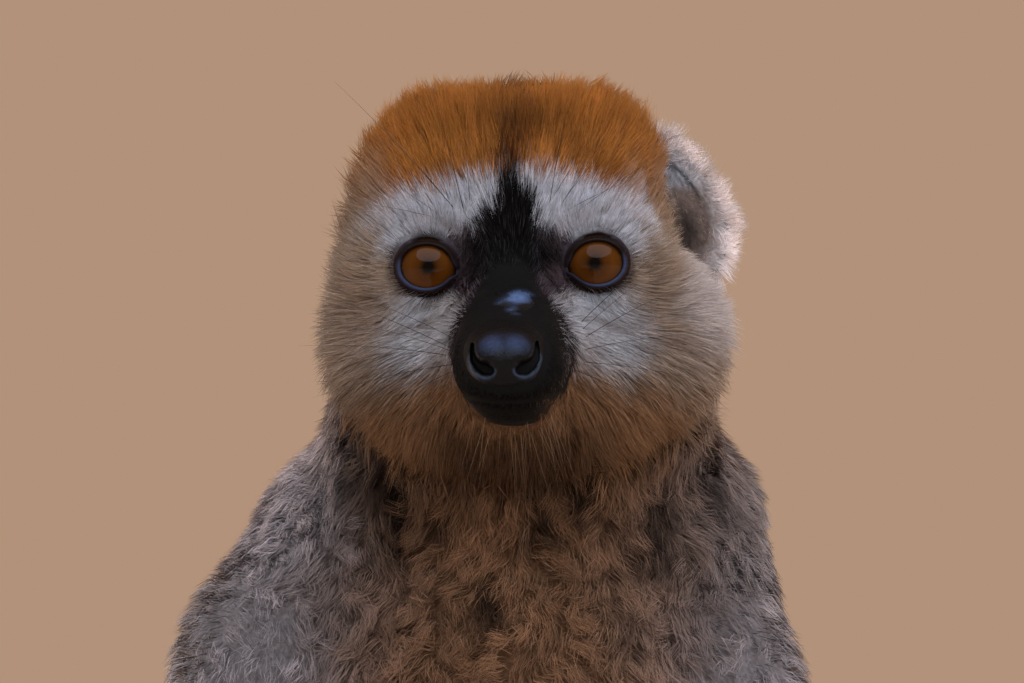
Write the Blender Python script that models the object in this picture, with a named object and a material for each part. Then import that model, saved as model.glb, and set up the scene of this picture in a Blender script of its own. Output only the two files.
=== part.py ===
"""A red-fronted lemur, life size, sitting on the floor with its hands between its feet.

The solids give the animal's outline out to the tips of its coat. It faces -Y, its left is +X and up is +Z. The
origin is on the floor, under the middle of the rump. Every length is in millimetres until MM turns it into metres.

Each part of the body is fused from a few forms. A form is the convex hull of one or more balls, and a ball is a
centre with three radii. Where two parts meet, one of them is cut by the other with a thin gap between.
"""

import math

import bmesh
import bpy
from mathutils import Matrix, Vector

MM = 0.001
GAP = 0.3  # between parts that meet

# Driving dimensions
EYE_HEIGHT = 262.0  # of the line through both eyes, above the floor
EYE_FORWARD = 38.0  # of the same line, in front of the plane from which the forms are measured
EYE_SPREAD = 17.1  # from the middle of the head to the middle of an eye
EYE_RADIUS = 7.8
HEAD_TURN = math.radians(1.7)  # the nose towards the animal's right
HEAD_ROLL = math.radians(1.3)  # the left eye above the right one
TAIL_LENGTH = 490.0
TAIL_PIECES = 4
RUMP_BACK = 62.0  # of the rump's middle, behind the plane from which the forms are measured

# Joints of the limbs on the animal's left. On its right, x changes sign.
SHOULDER = Vector((40, 10, 185))
ELBOW = Vector((52, -8, 98))
WRIST = Vector((31, -46, 14))
HIP = Vector((40, 64, 48))
KNEE = Vector((87, -10, 120))
ANKLE = Vector((67, 26, 16))

# The animal's right arm and knee are held further out than its left ones.
SHOULDER_OUT = {"left": 0, "right": 6}
ELBOW_OUT = {"left": 0, "right": 11}
KNEE_OUT = {"left": 0, "right": 8}

COLOURS = {
    "coat_grey": ((0.16, 0.135, 0.12), 0.9),
    "coat_head": ((0.24, 0.12, 0.055), 0.9),
    "coat_ear": ((0.42, 0.39, 0.37), 0.9),
    "coat_tail": ((0.07, 0.055, 0.05), 0.9),
    "nose_skin": ((0.012, 0.012, 0.016), 0.45),
    "eye": ((0.32, 0.12, 0.03), 0.08),
}


def clear_scene():
    for obj in list(bpy.data.objects):
        bpy.data.objects.remove(obj)


def material(name):
    found = bpy.data.materials.get(name)
    if found:
        return found
    made = bpy.data.materials.new(name)
    made.use_nodes = True
    shader = made.node_tree.nodes["Principled BSDF"]
    colour, roughness = COLOURS[name]
    shader.inputs["Base Color"].default_value = (*colour, 1)
    shader.inputs["Roughness"].default_value = roughness
    shader.inputs["Metallic"].default_value = 0
    return made


# ---------------------------------------------------------------- forms


def ball(centre, radii, turn=None):
    """A ball, stretched to three radii and turned about its centre."""
    radii = Vector(radii) if hasattr(radii, "__len__") else Vector((radii,) * 3)
    return Vector(centre), radii, turn or Matrix.Identity(3)


def mirrored(form, side):
    """The form as modelled for the left, or its mirror image for the right."""
    if side == "left":
        return form
    flip = Matrix.Diagonal((-1, 1, 1))
    return [(flip @ centre, radii, flip @ turn @ flip) for centre, radii, turn in form]


def ball_points(centre, radii, turn, detail):
    """The vertices of a stretched ball, in millimetres."""
    sphere = bmesh.new()
    bmesh.ops.create_icosphere(sphere, subdivisions=detail, radius=1)
    points = [centre + turn @ Vector([c * r for c, r in zip(v.co, radii)]) for v in sphere.verts]
    sphere.free()
    return points


def add_form(bm, form, place, detail=3):
    """Adds the convex hull of a form's balls to a bmesh, in metres."""
    points = [p for centre, radii, turn in form for p in ball_points(centre, radii, turn, detail)]
    shell = bmesh.new()
    for p in points:
        shell.verts.new(place @ (p * MM))
    hull = bmesh.ops.convex_hull(shell, input=shell.verts)
    spare = {e for e in hull["geom_interior"] + hull["geom_unused"] if isinstance(e, bmesh.types.BMVert)}
    bmesh.ops.delete(shell, geom=list(spare), context="VERTS")
    bmesh.ops.recalc_face_normals(shell, faces=shell.faces)
    mesh = bpy.data.meshes.new("form")
    shell.to_mesh(mesh)
    shell.free()
    bm.from_mesh(mesh)
    bpy.data.meshes.remove(mesh)


def evaluated_copy(obj):
    """The mesh of an object with its modifiers applied."""
    bpy.context.view_layer.update()
    graph = bpy.context.evaluated_depsgraph_get()
    return bpy.data.meshes.new_from_object(obj.evaluated_get(graph))


def apply_modifiers(obj):
    mesh = evaluated_copy(obj)
    obj.modifiers.clear()
    obj.data = mesh
    return obj


def object_from(name, bm, slot):
    mesh = bpy.data.meshes.new(name)
    bm.to_mesh(mesh)
    bm.free()
    obj = bpy.data.objects.new(name, mesh)
    bpy.context.scene.collection.objects.link(obj)
    obj.data.materials.append(material(slot))
    return obj


def fused(name, forms, slot, triangles, voxel=2.0, smoothing=8, place=None):
    """One rounded solid from several overlapping forms."""
    bm = bmesh.new()
    for form in forms:
        add_form(bm, form, place or Matrix.Identity(4))
    obj = object_from(name, bm, slot)
    remesh = obj.modifiers.new("Remesh", "REMESH")
    remesh.mode = "VOXEL"
    remesh.voxel_size = voxel * MM
    smooth = obj.modifiers.new("Smooth", "SMOOTH")
    smooth.factor = 0.5
    smooth.iterations = smoothing
    apply_modifiers(obj)
    decimate = obj.modifiers.new("Decimate", "DECIMATE")
    decimate.ratio = triangles / (2 * len(obj.data.polygons))
    decimate.use_collapse_triangulate = True
    apply_modifiers(obj)
    if not obj.data.materials:
        obj.data.materials.append(material(slot))
    obj.data.shade_smooth()
    keep_room(obj)
    return obj


# ---------------------------------------------------------------- cuts


ROOMS = {}  # the whole shape of each part before any cut, grown by the gap


def keep_room(obj, by=GAP):
    """Stores the shape that the object's neighbours have to leave free."""
    mesh = obj.data.copy()
    for vertex, normal in zip(mesh.vertices, [v.normal.copy() for v in mesh.vertices]):
        vertex.co += normal * by * MM
    ROOMS[obj.name] = helper_object(obj.name + "_room", mesh)


def helper_object(name, mesh):
    helper = bpy.data.objects.new(name, mesh)
    bpy.context.scene.collection.objects.link(helper)
    helper.hide_render = True
    helper.display_type = "WIRE"
    return helper


def reach(obj):
    """The lowest and highest corner of an object's mesh."""
    points = [v.co for v in obj.data.vertices]
    return [min(p[i] for p in points) for i in range(3)], [max(p[i] for p in points) for i in range(3)]


def apart(obj, helper):
    (low_a, high_a), (low_b, high_b) = reach(obj), reach(helper)
    return any(high_a[i] < low_b[i] or high_b[i] < low_a[i] for i in range(3))


def cut(obj, helper):
    """Takes the helper's shape away from the object."""
    if apart(obj, helper):
        return
    boolean = obj.modifiers.new("Cut", "BOOLEAN")
    boolean.operation = "DIFFERENCE"
    boolean.object = helper
    apply_modifiers(obj)
    keep_largest(obj)


def keep_largest(obj):
    """Leaves only the largest of an object's separate bodies, so that no crumb of a cut stays."""
    bm = bmesh.new()
    bm.from_mesh(obj.data)
    left = set(bm.verts)
    bodies = []
    while left:
        body, found = set(), [next(iter(left))]
        while found:
            v = found.pop()
            if v not in body:
                body.add(v)
                found.extend(e.other_vert(v) for e in v.link_edges)
        left -= body
        bodies.append(body)
    bodies.sort(key=len)
    for body in bodies[:-1]:
        bmesh.ops.delete(bm, geom=list(body), context="VERTS")
    bmesh.ops.recalc_face_normals(bm, faces=bm.faces)
    bm.to_mesh(obj.data)
    bm.free()


def floor_helper():
    """Everything below the floor."""
    bm = bmesh.new()
    size = Matrix.Diagonal((1.2, 1.2, 0.1, 1))
    bmesh.ops.create_cube(bm, size=1, matrix=Matrix.Translation((0, 0, -0.05)) @ size)
    mesh = bpy.data.meshes.new("below_floor")
    bm.to_mesh(mesh)
    bm.free()
    return helper_object("below_floor", mesh)


def split_by(obj, *neighbours):
    """Leaves room for neighbours, each named by its object or by its name."""
    for neighbour in neighbours:
        cut(obj, ROOMS[neighbour])


# ---------------------------------------------------------------- head

# The head's own frame: its origin is midway between the eyes, and it looks along -Y.
CROWN = [ball((side * 15, 20, 13), (17.5, 25, 24.5)) for side in (-1, 1)]
CHEEKS = [ball((-19, 16, -16), (19.7, 20.5, 17.5)), ball((21, 16, -18), (21, 20.5, 18.5))]  # right and left
OCCIPUT = ball((0, 30, 0), (31, 27, 28))
HEAD_FORMS = [
    [*CROWN, *CHEEKS, OCCIPUT],  # skull and cheeks
    [ball((0, 5, 13), (17, 12, 15)), ball((0, 2, -2), (12, 12, 9))],  # forehead, down to the nose bridge
    [ball((-16, 12, -23), (17, 18, 17)), ball((16, 12, -23), (17, 18, 17)), ball((0, 12, -27), (18, 17, 17))],  # ruff
    [ball((0, 5, -10), (21, 13, 15)), ball((0, -13, -15), (13, 9, 11.6))],  # root of the muzzle
    [ball((0, -14, -15.5), (12.6, 9, 11.6)), ball((0, -30.5, -21), (11.6, 8.5, 8.8))],  # muzzle
    [ball((0, -8, -24), (11.5, 10, 9)), ball((0, -28, -26.5), (8.4, 7.5, 5.6))],  # lower jaw
]
NOSE_FORMS = [
    [ball((3.4, -36, -17.1), (4.5, 5.4, 4.3))],  # left pad, above its nostril
    [ball((-3.4, -36, -17.1), (4.5, 5.4, 4.3))],
    [ball((5.6, -34.5, -20.2), (2.6, 5, 3.8))],  # left wing
    [ball((-5.6, -34.5, -20.2), (2.6, 5, 3.8))],
    [ball((0, -35.5, -19.4), (3.4, 5.8, 5.4))],  # septum
]

# An ear is a bowl. Its front edge is fixed to the head, and the bowl's width runs out and back from there.
EAR_EDGE = {"left": Vector((30, 17, 8.5)), "right": Vector((27, 17, 9.5))}
EAR_SWING = {"left": math.radians(52), "right": math.radians(84)}  # from straight out to straight back
EAR_LEAN = math.radians(-8)  # the top towards the middle of the head
EAR_OUTSIDE = Vector((11, 7, 17))  # half width, half depth and half height
EAR_HOLLOW = Vector((8.5, 7, 13))
EAR_HOLLOW_SHIFT = Vector((-0.5, -4.5, 0))


def head_place():
    """The head's frame in the world."""
    turn = Matrix.Rotation(-HEAD_TURN, 4, "Z") @ Matrix.Rotation(-HEAD_ROLL, 4, "Y")
    return Matrix.Translation(Vector((0, -EYE_FORWARD, EYE_HEIGHT)) * MM) @ turn


def make_eye(side, place):
    """A round eyeball. Its front shows in the head, and the rest fills the socket."""
    sign = 1 if side == "left" else -1
    bm = bmesh.new()
    centre = Matrix.Translation(Vector((sign * EYE_SPREAD, 0, 0)) * MM)
    bmesh.ops.create_uvsphere(bm, u_segments=12, v_segments=8, radius=EYE_RADIUS * MM, matrix=place @ centre)
    obj = object_from("eye_" + side, bm, "eye")
    obj.data.shade_smooth()
    keep_room(obj)


def make_ear(side, place):
    """A cupped ear with its fringe, open to the front and the side."""
    turn = Matrix.Rotation(EAR_SWING[side], 3, "Z") @ Matrix.Rotation(EAR_LEAN, 3, "Y")
    centre = EAR_EDGE[side] + turn @ Vector((EAR_OUTSIDE.x, 0, 0)) * 0.92
    outside = mirrored([ball(centre, EAR_OUTSIDE, turn)], side)
    hollow = mirrored([ball(centre + turn @ EAR_HOLLOW_SHIFT, EAR_HOLLOW, turn)], side)
    ear = fused("ear_" + side, [outside], "coat_ear", 160, voxel=1.2, smoothing=2, place=place)
    helper = fused("ear_hollow", [hollow], "coat_ear", 90, voxel=1.2, smoothing=2, place=place)
    cut(ear, helper)
    bpy.data.objects.remove(helper)
    split_by(ear, "head")


def make_head():
    place = head_place()
    head = fused("head", HEAD_FORMS, "coat_head", 1080, voxel=1.5, smoothing=8, place=place)
    nose = fused("nose", NOSE_FORMS, "nose_skin", 200, voxel=0.8, smoothing=4, place=place)
    split_by(nose, "head")
    for side in ("left", "right"):
        make_eye(side, place)
        split_by(head, "eye_" + side)
        make_ear(side, place)


# ---------------------------------------------------------------- trunk and neck

TRUNK_FORMS = [
    [ball((0, RUMP_BACK, 48), (57, 58, 54)), ball((0, 60, 118), (50, 54, 50))],  # rump and lower back
    [ball((0, 60, 118), (48, 52, 50)), ball((0, 38, 184), (46, 42, 42))],  # upper back
    [ball((0, 50, 56), (50, 52, 50)), ball((0, 26, 112), (50, 48, 50))],  # belly
    [ball((0, 26, 112), (48, 47, 50)), ball((0, 14, 180), (46, 46, 44))],  # chest
    [ball((26, 18, 196), (32, 36, 36)), ball((-26, 18, 196), (32, 36, 36))],  # shoulders
]
NECK_FORMS = [
    [ball((0, 15, 208), (45, 40, 27)), ball((1.5, -5, 237), (38.5, 31, 23))],
]


def make_trunk():
    return fused("trunk", TRUNK_FORMS, "coat_grey", 680, voxel=3.0, smoothing=10)


def make_neck():
    neck = fused("neck", NECK_FORMS, "coat_grey", 260, voxel=2.4, smoothing=4)
    split_by(neck, "head", "trunk")


# ---------------------------------------------------------------- limbs


def limb(name, side, start, end, start_radii, end_radii, triangles, voxel=2.2, bulge=None):
    """A tapered length of a limb between two joints, with an optional muscle part of the way along it."""
    forms = [[ball(start, start_radii), ball(end, end_radii)]]
    if bulge:
        share, radii = bulge
        forms.append([ball(start.lerp(end, share), radii)])
    forms = [mirrored(form, side) for form in forms]
    return fused(f"{name}_{side}", forms, "coat_grey", triangles, voxel=voxel, smoothing=4)


# Each digit: where it leaves the palm, its direction from straight ahead, and its length
FINGERS = [
    ((-9, 4), 38, 22),  # thumb, on the inner side
    ((-7, -14), 12, 31),
    ((-2, -17), 3, 36),
    ((4, -16), -7, 37),
    ((9, -12), -18, 30),
]
TOES = [
    ((-10, 6), 42, 34),  # big toe, on the inner side
    ((-7, -22), 12, 27),
    ((-2, -26), 4, 33),
    ((4, -26), -5, 36),
    ((9, -22), -14, 31),
]


def digits(rows, origin, root_radius, tip_radius, root_height):
    """The digits of a left hand or foot. Each runs from its knuckle to a pad flat on the floor."""
    forms = []
    for (x, y), angle, length in rows:
        angle = math.radians(angle)
        ahead = Vector((-math.sin(angle), -math.cos(angle), 0))
        root = origin + Vector((x, y, root_height))
        tip = origin + Vector((x, y, tip_radius - 0.7)) + ahead * (length - tip_radius)
        middle = root.lerp(tip, 0.5) + Vector((0, 0, 1.2))
        forms.append([ball(root, root_radius), ball(middle, root_radius * 0.86)])
        forms.append([ball(middle, root_radius * 0.86), ball(tip, (tip_radius, tip_radius * 1.35, tip_radius))])
    return forms


def make_hand(side):
    """Palm and five fingers, flat on the floor."""
    palm = Vector((WRIST.x - 1, WRIST.y - 14, 0))
    forms = [
        [ball(WRIST, (9.5, 9, 9.5)), ball(palm + Vector((0, -2, 6.5)), (12.5, 12, 7.2))],
        [ball(palm + Vector((-6, -3, 5)), (6, 9, 5.7)), ball(palm + Vector((6, -3, 5)), (7, 9, 5.7))],
    ]
    forms += digits(FINGERS, palm, 3.7, 3.4, 4.8)
    forms = [mirrored(form, side) for form in forms]
    return fused(f"hand_{side}", forms, "coat_grey", 390, voxel=1.2, smoothing=4)


def make_foot(side):
    """Heel, sole and five toes, flat on the floor."""
    heel = Vector((ANKLE.x, ANKLE.y + 8, 0))
    ball_of_foot = Vector((ANKLE.x + 4, ANKLE.y - 38, 0))
    forms = [
        [ball(heel + Vector((0, 0, 9)), (9.5, 10, 10)), ball(ball_of_foot + Vector((0, 0, 7)), (13, 14, 7.7))],
        [ball(ANKLE + Vector((0, -2, 2)), (10, 11, 10)), ball(ball_of_foot + Vector((0, 14, 8)), (11, 12, 8))],
    ]
    forms += digits(TOES, ball_of_foot + Vector((0, 14, 0)), 4.0, 3.7, 5.2)
    forms = [mirrored(form, side) for form in forms]
    return fused(f"foot_{side}", forms, "coat_grey", 390, voxel=1.3, smoothing=4)


def make_arm(side, floor):
    shoulder = SHOULDER + Vector((SHOULDER_OUT[side], 0, 0))
    elbow = ELBOW + Vector((ELBOW_OUT[side], 0, 0))
    upper = limb("upper_arm", side, shoulder, elbow, (21, 24, 24), (15.5, 17, 16), 190, bulge=(0.3, (22, 23, 25)))
    split_by(upper, "trunk", "neck")
    fore = limb("forearm", side, elbow, WRIST, (15, 16, 16), (10, 10, 10), 170, bulge=(0.25, (15.5, 15.5, 17)))
    split_by(fore, upper.name, "trunk")
    hand = make_hand(side)
    split_by(hand, fore.name)
    cut(hand, floor)


def make_leg(side, floor):
    knee = KNEE + Vector((KNEE_OUT[side], 0, 0))
    thigh = limb("thigh", side, HIP, knee, (35, 34, 36), (19, 20, 20), 260, bulge=(0.4, (30, 31, 33)))
    split_by(thigh, "trunk", f"upper_arm_{side}", f"forearm_{side}")
    shank = limb("shank", side, knee, ANKLE, (18, 18, 18), (11.5, 11.5, 11.5), 180, bulge=(0.3, (16.5, 18, 18)))
    split_by(shank, thigh.name, "trunk", f"upper_arm_{side}", f"forearm_{side}")
    foot = make_foot(side)
    split_by(foot, shank.name, thigh.name)
    cut(foot, floor)


# ---------------------------------------------------------------- tail

TAIL_ROOT = Vector((0, 96, 32))
TAIL_LIE = 18.6  # height of its middle where it lies on the floor
TAIL_THICK = 19.5  # radius of its coat halfway along
TAIL_STEPS = 64
TAIL_SIDES = 12
RINGS_PER_PIECE = 8
TIP_START = 0.93  # share of the length where the round tip begins
TIP_RINGS = 5


def tail_heading(share):
    """The tail's direction in plan: back from the rump, then round to the animal's left and forward."""
    turn = math.radians(246) * (1 - (1 - share) ** 1.35)
    turn -= math.radians(58) * max(0.0, share - 0.62) / 0.38  # the last third opens out again
    return Vector((math.sin(turn), math.cos(turn), 0))


def tail_line():
    """Points along the middle of the tail."""
    step = TAIL_LENGTH / TAIL_STEPS
    point = TAIL_ROOT.copy()
    points = [point.copy()]
    for i in range(TAIL_STEPS):
        share = i / TAIL_STEPS
        point += tail_heading(share) * step
        sink = min(1.0, (share + 0.5 / TAIL_STEPS) / 0.09)
        height = TAIL_ROOT.z + (TAIL_LIE - TAIL_ROOT.z) * sink * sink * (3 - 2 * sink)
        points.append(Vector((point.x, point.y, height)))
    return points


def tail_radius(share):
    """Fuller in the middle than at its root."""
    return TAIL_THICK * (0.86 + 0.14 * math.sin(math.pi * min(1.0, share * 1.15)))


def tail_ring(bm, points, share, radius, shift=0.0):
    """A ring of vertices round the tail's middle line, shifted a little along it."""
    at = min(share * TAIL_STEPS, TAIL_STEPS - 1e-6)
    low, high = points[int(at)], points[int(at) + 1]
    along = (high - low).normalized()
    across = along.cross(Vector((0, 0, 1))).normalized()
    up = across.cross(along)
    centre = low.lerp(high, at - int(at)) + along * shift
    angles = [2 * math.pi * j / TAIL_SIDES for j in range(TAIL_SIDES)]
    return [bm.verts.new((centre + (across * math.cos(a) + up * math.sin(a)) * radius) * MM) for a in angles]


def tail_rings(bm, points, piece):
    """The rings of one piece. The last piece ends in a half-round tip."""
    is_tip = piece == TAIL_PIECES - 1
    start, end = piece / TAIL_PIECES, TIP_START if is_tip else (piece + 1) / TAIL_PIECES
    rings = []
    for i in range(RINGS_PER_PIECE + 1):
        share = start + (end - start) * i / RINGS_PER_PIECE
        shift = 0.0
        if i == 0 and piece > 0:
            shift = GAP / 2
        if i == RINGS_PER_PIECE and not is_tip:
            shift = -GAP / 2
        rings.append(tail_ring(bm, points, share, tail_radius(share), shift))
    for i in range(1, TIP_RINGS + 1) if is_tip else ():
        angle = 0.97 * math.pi / 2 * i / TIP_RINGS
        share = TIP_START + (1 - TIP_START) * math.sin(angle)
        rings.append(tail_ring(bm, points, share, tail_radius(share) * math.cos(angle)))
    return rings


def make_tail(floor):
    """The tail lies on the floor in a few lengths, with a thin gap between them."""
    points = tail_line()
    for k in range(TAIL_PIECES):
        bm = bmesh.new()
        rings = tail_rings(bm, points, k)
        for low, high in zip(rings, rings[1:]):
            for j in range(TAIL_SIDES):
                bm.faces.new((low[j], low[(j + 1) % TAIL_SIDES], high[(j + 1) % TAIL_SIDES], high[j]))
        bm.faces.new(rings[0][::-1])
        bm.faces.new(rings[-1])
        bmesh.ops.recalc_face_normals(bm, faces=bm.faces)
        piece = object_from(f"tail_{k + 1}", bm, "coat_tail")
        piece.data.shade_smooth()
        if k == 0:
            split_by(piece, "trunk")
        cut(piece, floor)


# ---------------------------------------------------------------- the whole animal


def bring_rump_to_origin():
    """Moves every part, so that the origin comes to lie under the middle of the rump."""
    for obj in bpy.data.objects:
        obj.data.transform(Matrix.Translation((0, -RUMP_BACK * MM, 0)))


def main():
    clear_scene()
    floor = floor_helper()
    make_head()
    trunk = make_trunk()
    make_neck()
    split_by(trunk, "head")
    cut(trunk, floor)
    for side in ("left", "right"):
        make_arm(side, floor)
        make_leg(side, floor)
    make_tail(floor)
    bring_rump_to_origin()


main()
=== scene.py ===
"""The looks of a life-size red-fronted lemur, sitting.

One skin takes the place of the CAD model's flesh, and lies inside it by the depth of the coat. The coat is
made of tufts: short flat blades that follow the lie of the fur. Skin and coat read the same colours, which
are functions of the place on the body. Lengths are in millimetres in the tables, and in metres in the meshes.
"""

import math

import bmesh
import bpy
import numpy as np
from mathutils import Matrix, Vector
from mathutils.bvhtree import BVHTree
from mathutils.kdtree import KDTree


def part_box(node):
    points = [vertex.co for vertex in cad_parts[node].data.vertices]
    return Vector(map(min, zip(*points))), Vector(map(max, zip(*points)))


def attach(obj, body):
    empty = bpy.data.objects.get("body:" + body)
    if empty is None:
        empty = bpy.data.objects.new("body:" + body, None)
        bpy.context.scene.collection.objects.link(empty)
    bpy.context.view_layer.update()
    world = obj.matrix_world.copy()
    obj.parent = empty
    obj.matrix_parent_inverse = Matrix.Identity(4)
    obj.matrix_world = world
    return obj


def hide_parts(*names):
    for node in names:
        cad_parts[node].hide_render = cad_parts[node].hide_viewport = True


MM = 0.001
SIDES = ("left", "right")

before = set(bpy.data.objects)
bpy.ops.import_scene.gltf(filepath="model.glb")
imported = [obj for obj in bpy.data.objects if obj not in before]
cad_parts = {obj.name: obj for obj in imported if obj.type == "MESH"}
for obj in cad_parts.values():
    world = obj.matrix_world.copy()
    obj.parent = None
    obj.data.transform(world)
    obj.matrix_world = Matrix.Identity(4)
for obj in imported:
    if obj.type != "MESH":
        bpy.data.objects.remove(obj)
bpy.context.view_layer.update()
rng = np.random.default_rng(7)


# ---------------------------------------------------------------- numbers


def smooth(x, low, high):
    """0 below low, 1 above high, and a soft step between."""
    t = np.clip((x - low) / (high - low), 0, 1)
    return t * t * (3 - 2 * t)


def fade(x, low, high):
    """1 below low, 0 above high, and a soft step between."""
    return 1 - smooth(x, low, high)


def peak(x, centre, width):
    """1 at the centre, and near 0 from twice the width away."""
    return np.exp(-(((x - centre) / width) ** 2))


def spot(x, z, centre, radii, low, high):
    """1 in the middle of an ellipse, fading out between two shares of its radii."""
    return fade(np.hypot((x - centre[0]) / radii[0], (z - centre[1]) / radii[1]), low, high)


def unit(v):
    """Vectors of length 1."""
    return v / np.maximum(np.linalg.norm(v, axis=-1, keepdims=True), 1e-9)


def mix(a, b, share):
    """a and b by this share of b, which is one number or one for each row."""
    share = np.asarray(share)
    if max(np.ndim(a), np.ndim(b)) > share.ndim:
        share = share[..., None]
    return a + (b - a) * share


def layered(colour, *layers):
    """A colour under layers, each with the share of the ground that it hides."""
    for tone, share in layers:
        colour = mix(colour, tone, share)
    return colour


def srgb(r, g, b):
    """A colour given as it looks on a screen, from 0 to 255, as linear light."""
    c = np.array((r, g, b)) / 255
    return np.where(c <= 0.04045, c / 12.92, ((c + 0.055) / 1.055) ** 2.4)


WAVES = np.random.default_rng(3).normal(size=(5, 14, 3))
PHASES = np.random.default_rng(4).uniform(0, 2 * math.pi, size=(5, 14))


def wobble(points, size, kind=0):
    """A soft random field between about -1 and 1, whose spots are about this size."""
    waves = WAVES[kind] * (2.2 / size)
    return np.sin(points @ waves.T + PHASES[kind]).sum(axis=1) / 4.2


# ---------------------------------------------------------------- the head's own frame


def middle(node):
    """The middle of a node's box."""
    low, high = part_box(node)
    return (Vector(low) + Vector(high)) / 2


EYES = {side: middle("eye_" + side) for side in SIDES}
EYE_RADIUS = (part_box("eye_left")[1][0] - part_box("eye_left")[0][0]) / 2 / MM
HEAD_ORIGIN = np.array((EYES["left"] + EYES["right"]) / 2)
HEAD_X = (EYES["left"] - EYES["right"]).normalized()
HEAD_Y = Vector((0, 0, 1)).cross(HEAD_X).normalized()
HEAD_AXES = np.array((HEAD_X, HEAD_Y, HEAD_X.cross(HEAD_Y)))  # its rows are the head's left, back and up
EYE_SPREAD = (EYES["left"] - EYES["right"]).length / 2 / MM


def to_head(points):
    """World metres to millimetres in the head's frame, midway between the eyes, looking along -Y."""
    return (np.asarray(points) - HEAD_ORIGIN) @ HEAD_AXES.T / MM


def from_head(points):
    """The way back from the head's frame to the world."""
    return np.asarray(points) @ HEAD_AXES * MM + HEAD_ORIGIN


# ---------------------------------------------------------------- meshes and arrays


def points_of(mesh):
    out = np.empty(len(mesh.vertices) * 3, dtype=np.float32)
    mesh.vertices.foreach_get("co", out)
    return out.reshape(-1, 3).astype(float)


def normals_of(mesh):
    out = np.empty(len(mesh.vertices) * 3, dtype=np.float32)
    mesh.vertex_normals.foreach_get("vector", out)
    return out.reshape(-1, 3).astype(float)


def move_points(mesh, points):
    mesh.vertices.foreach_set("co", np.ascontiguousarray(points, dtype=np.float32).ravel())
    mesh.update()


def triangles_of(mesh):
    """Corner vertices of the mesh's triangles."""
    mesh.calc_loop_triangles()
    out = np.empty(len(mesh.loop_triangles) * 3, dtype=np.int32)
    mesh.loop_triangles.foreach_get("vertices", out)
    return out.reshape(-1, 3)


def mesh_from(name, points, faces):
    """A mesh from an array of points and an array of faces with equal corner counts."""
    mesh = bpy.data.meshes.new(name)
    faces = np.asarray(faces, dtype=np.int32)
    count, corners = faces.shape
    mesh.vertices.add(len(points))
    mesh.vertices.foreach_set("co", np.ascontiguousarray(points, dtype=np.float32).ravel())
    mesh.loops.add(count * corners)
    mesh.loops.foreach_set("vertex_index", faces.ravel())
    mesh.polygons.add(count)
    mesh.polygons.foreach_set("loop_start", np.arange(0, count * corners, corners, dtype=np.int32))
    mesh.update(calc_edges=True)
    mesh.shade_smooth()
    return mesh


def new_object(name, mesh):
    obj = bpy.data.objects.new(name, mesh)
    bpy.context.scene.collection.objects.link(obj)
    return obj


def apply_modifiers(obj):
    bpy.context.view_layer.update()
    graph = bpy.context.evaluated_depsgraph_get()
    mesh = bpy.data.meshes.new_from_object(obj.evaluated_get(graph))
    obj.modifiers.clear()
    obj.data = mesh


def averaging(mesh):
    """A function that averages a value over each vertex's neighbours."""
    edges = np.empty(len(mesh.edges) * 2, dtype=np.int32)
    mesh.edges.foreach_get("vertices", edges)
    edges = edges.reshape(-1, 2)
    count = len(mesh.vertices)
    ends, starts = edges.T.ravel(), edges[:, ::-1].T.ravel()
    share = np.maximum(np.bincount(ends, minlength=count), 1)

    def average(values):
        columns = values.reshape(count, -1)
        sums = [np.bincount(ends, weights=column[starts], minlength=count) for column in columns.T]
        return np.stack([total / share for total in sums], axis=1).reshape(values.shape)

    return average


def set_colour(mesh, colours):
    layer = mesh.color_attributes.new("Tint", "FLOAT_COLOR", "POINT")
    out = np.ones((len(mesh.vertices), 4), dtype=np.float32)
    out[:, :3] = colours
    layer.data.foreach_set("color", out.ravel())


# ---------------------------------------------------------------- the skin's first shape

FLESH = ["head", "neck", "trunk"]
LIMB_PARTS = ("upper_arm", "forearm", "hand", "thigh", "shank", "foot")
FLESH += [f"{name}_{side}" for name in LIMB_PARTS for side in SIDES]
FLESH += sorted(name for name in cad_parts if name.startswith("tail_"))
ROOT_DEPTH = 0.4  # how far a tuft starts under the skin
GROW = 0.45  # closes the gaps between the parts before they are fused
FIRST_VOXEL = 1.15


def joined_triangles(mesh):
    """The mesh's vertices and triangles, with repeated vertices joined into one."""
    points = points_of(mesh)
    _, first, back = np.unique(np.round(points / 1e-6).astype(np.int64), axis=0, return_index=True,
                               return_inverse=True)
    return points[first], back.reshape(-1)[triangles_of(mesh)]


def fused_body():
    """The flesh as one closed mesh, a tree of the CAD model's triangles, and the part of each triangle."""
    parts, faces, owners, offset = [], [], [], 0
    for index, name in enumerate(FLESH):
        points, tris = joined_triangles(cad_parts[name].data)
        corners = points[tris]
        cross = np.cross(corners[:, 1] - corners[:, 0], corners[:, 2] - corners[:, 0])
        normal = np.zeros_like(points)
        for corner in range(3):
            np.add.at(normal, tris[:, corner], unit(cross))
        parts.append(points + unit(normal) * GROW * MM)
        faces.append(tris + offset)
        owners.append(np.full(len(tris), index))
        offset += len(points)
    points, faces, owners = np.concatenate(parts), np.concatenate(faces), np.concatenate(owners)
    obj = new_object("skin", mesh_from("skin", points, faces))
    remesh_voxels(obj, FIRST_VOXEL)
    return obj, BVHTree.FromPolygons(points.tolist(), faces.tolist()), owners


def remesh_voxels(obj, size):
    """Gives an object one closed surface with cells of this size."""
    remesh = obj.modifiers.new("Remesh", "REMESH")
    remesh.mode = "VOXEL"
    remesh.voxel_size = size * MM
    apply_modifiers(obj)


def relax(points, average, rounds, share=0.5):
    """Moves points towards their neighbours' middle. share may differ from point to point."""
    share = np.broadcast_to(np.asarray(share, dtype=float), (len(points),))[:, None]
    for _ in range(rounds):
        points = points + (average(points) - points) * share
    return points


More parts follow.
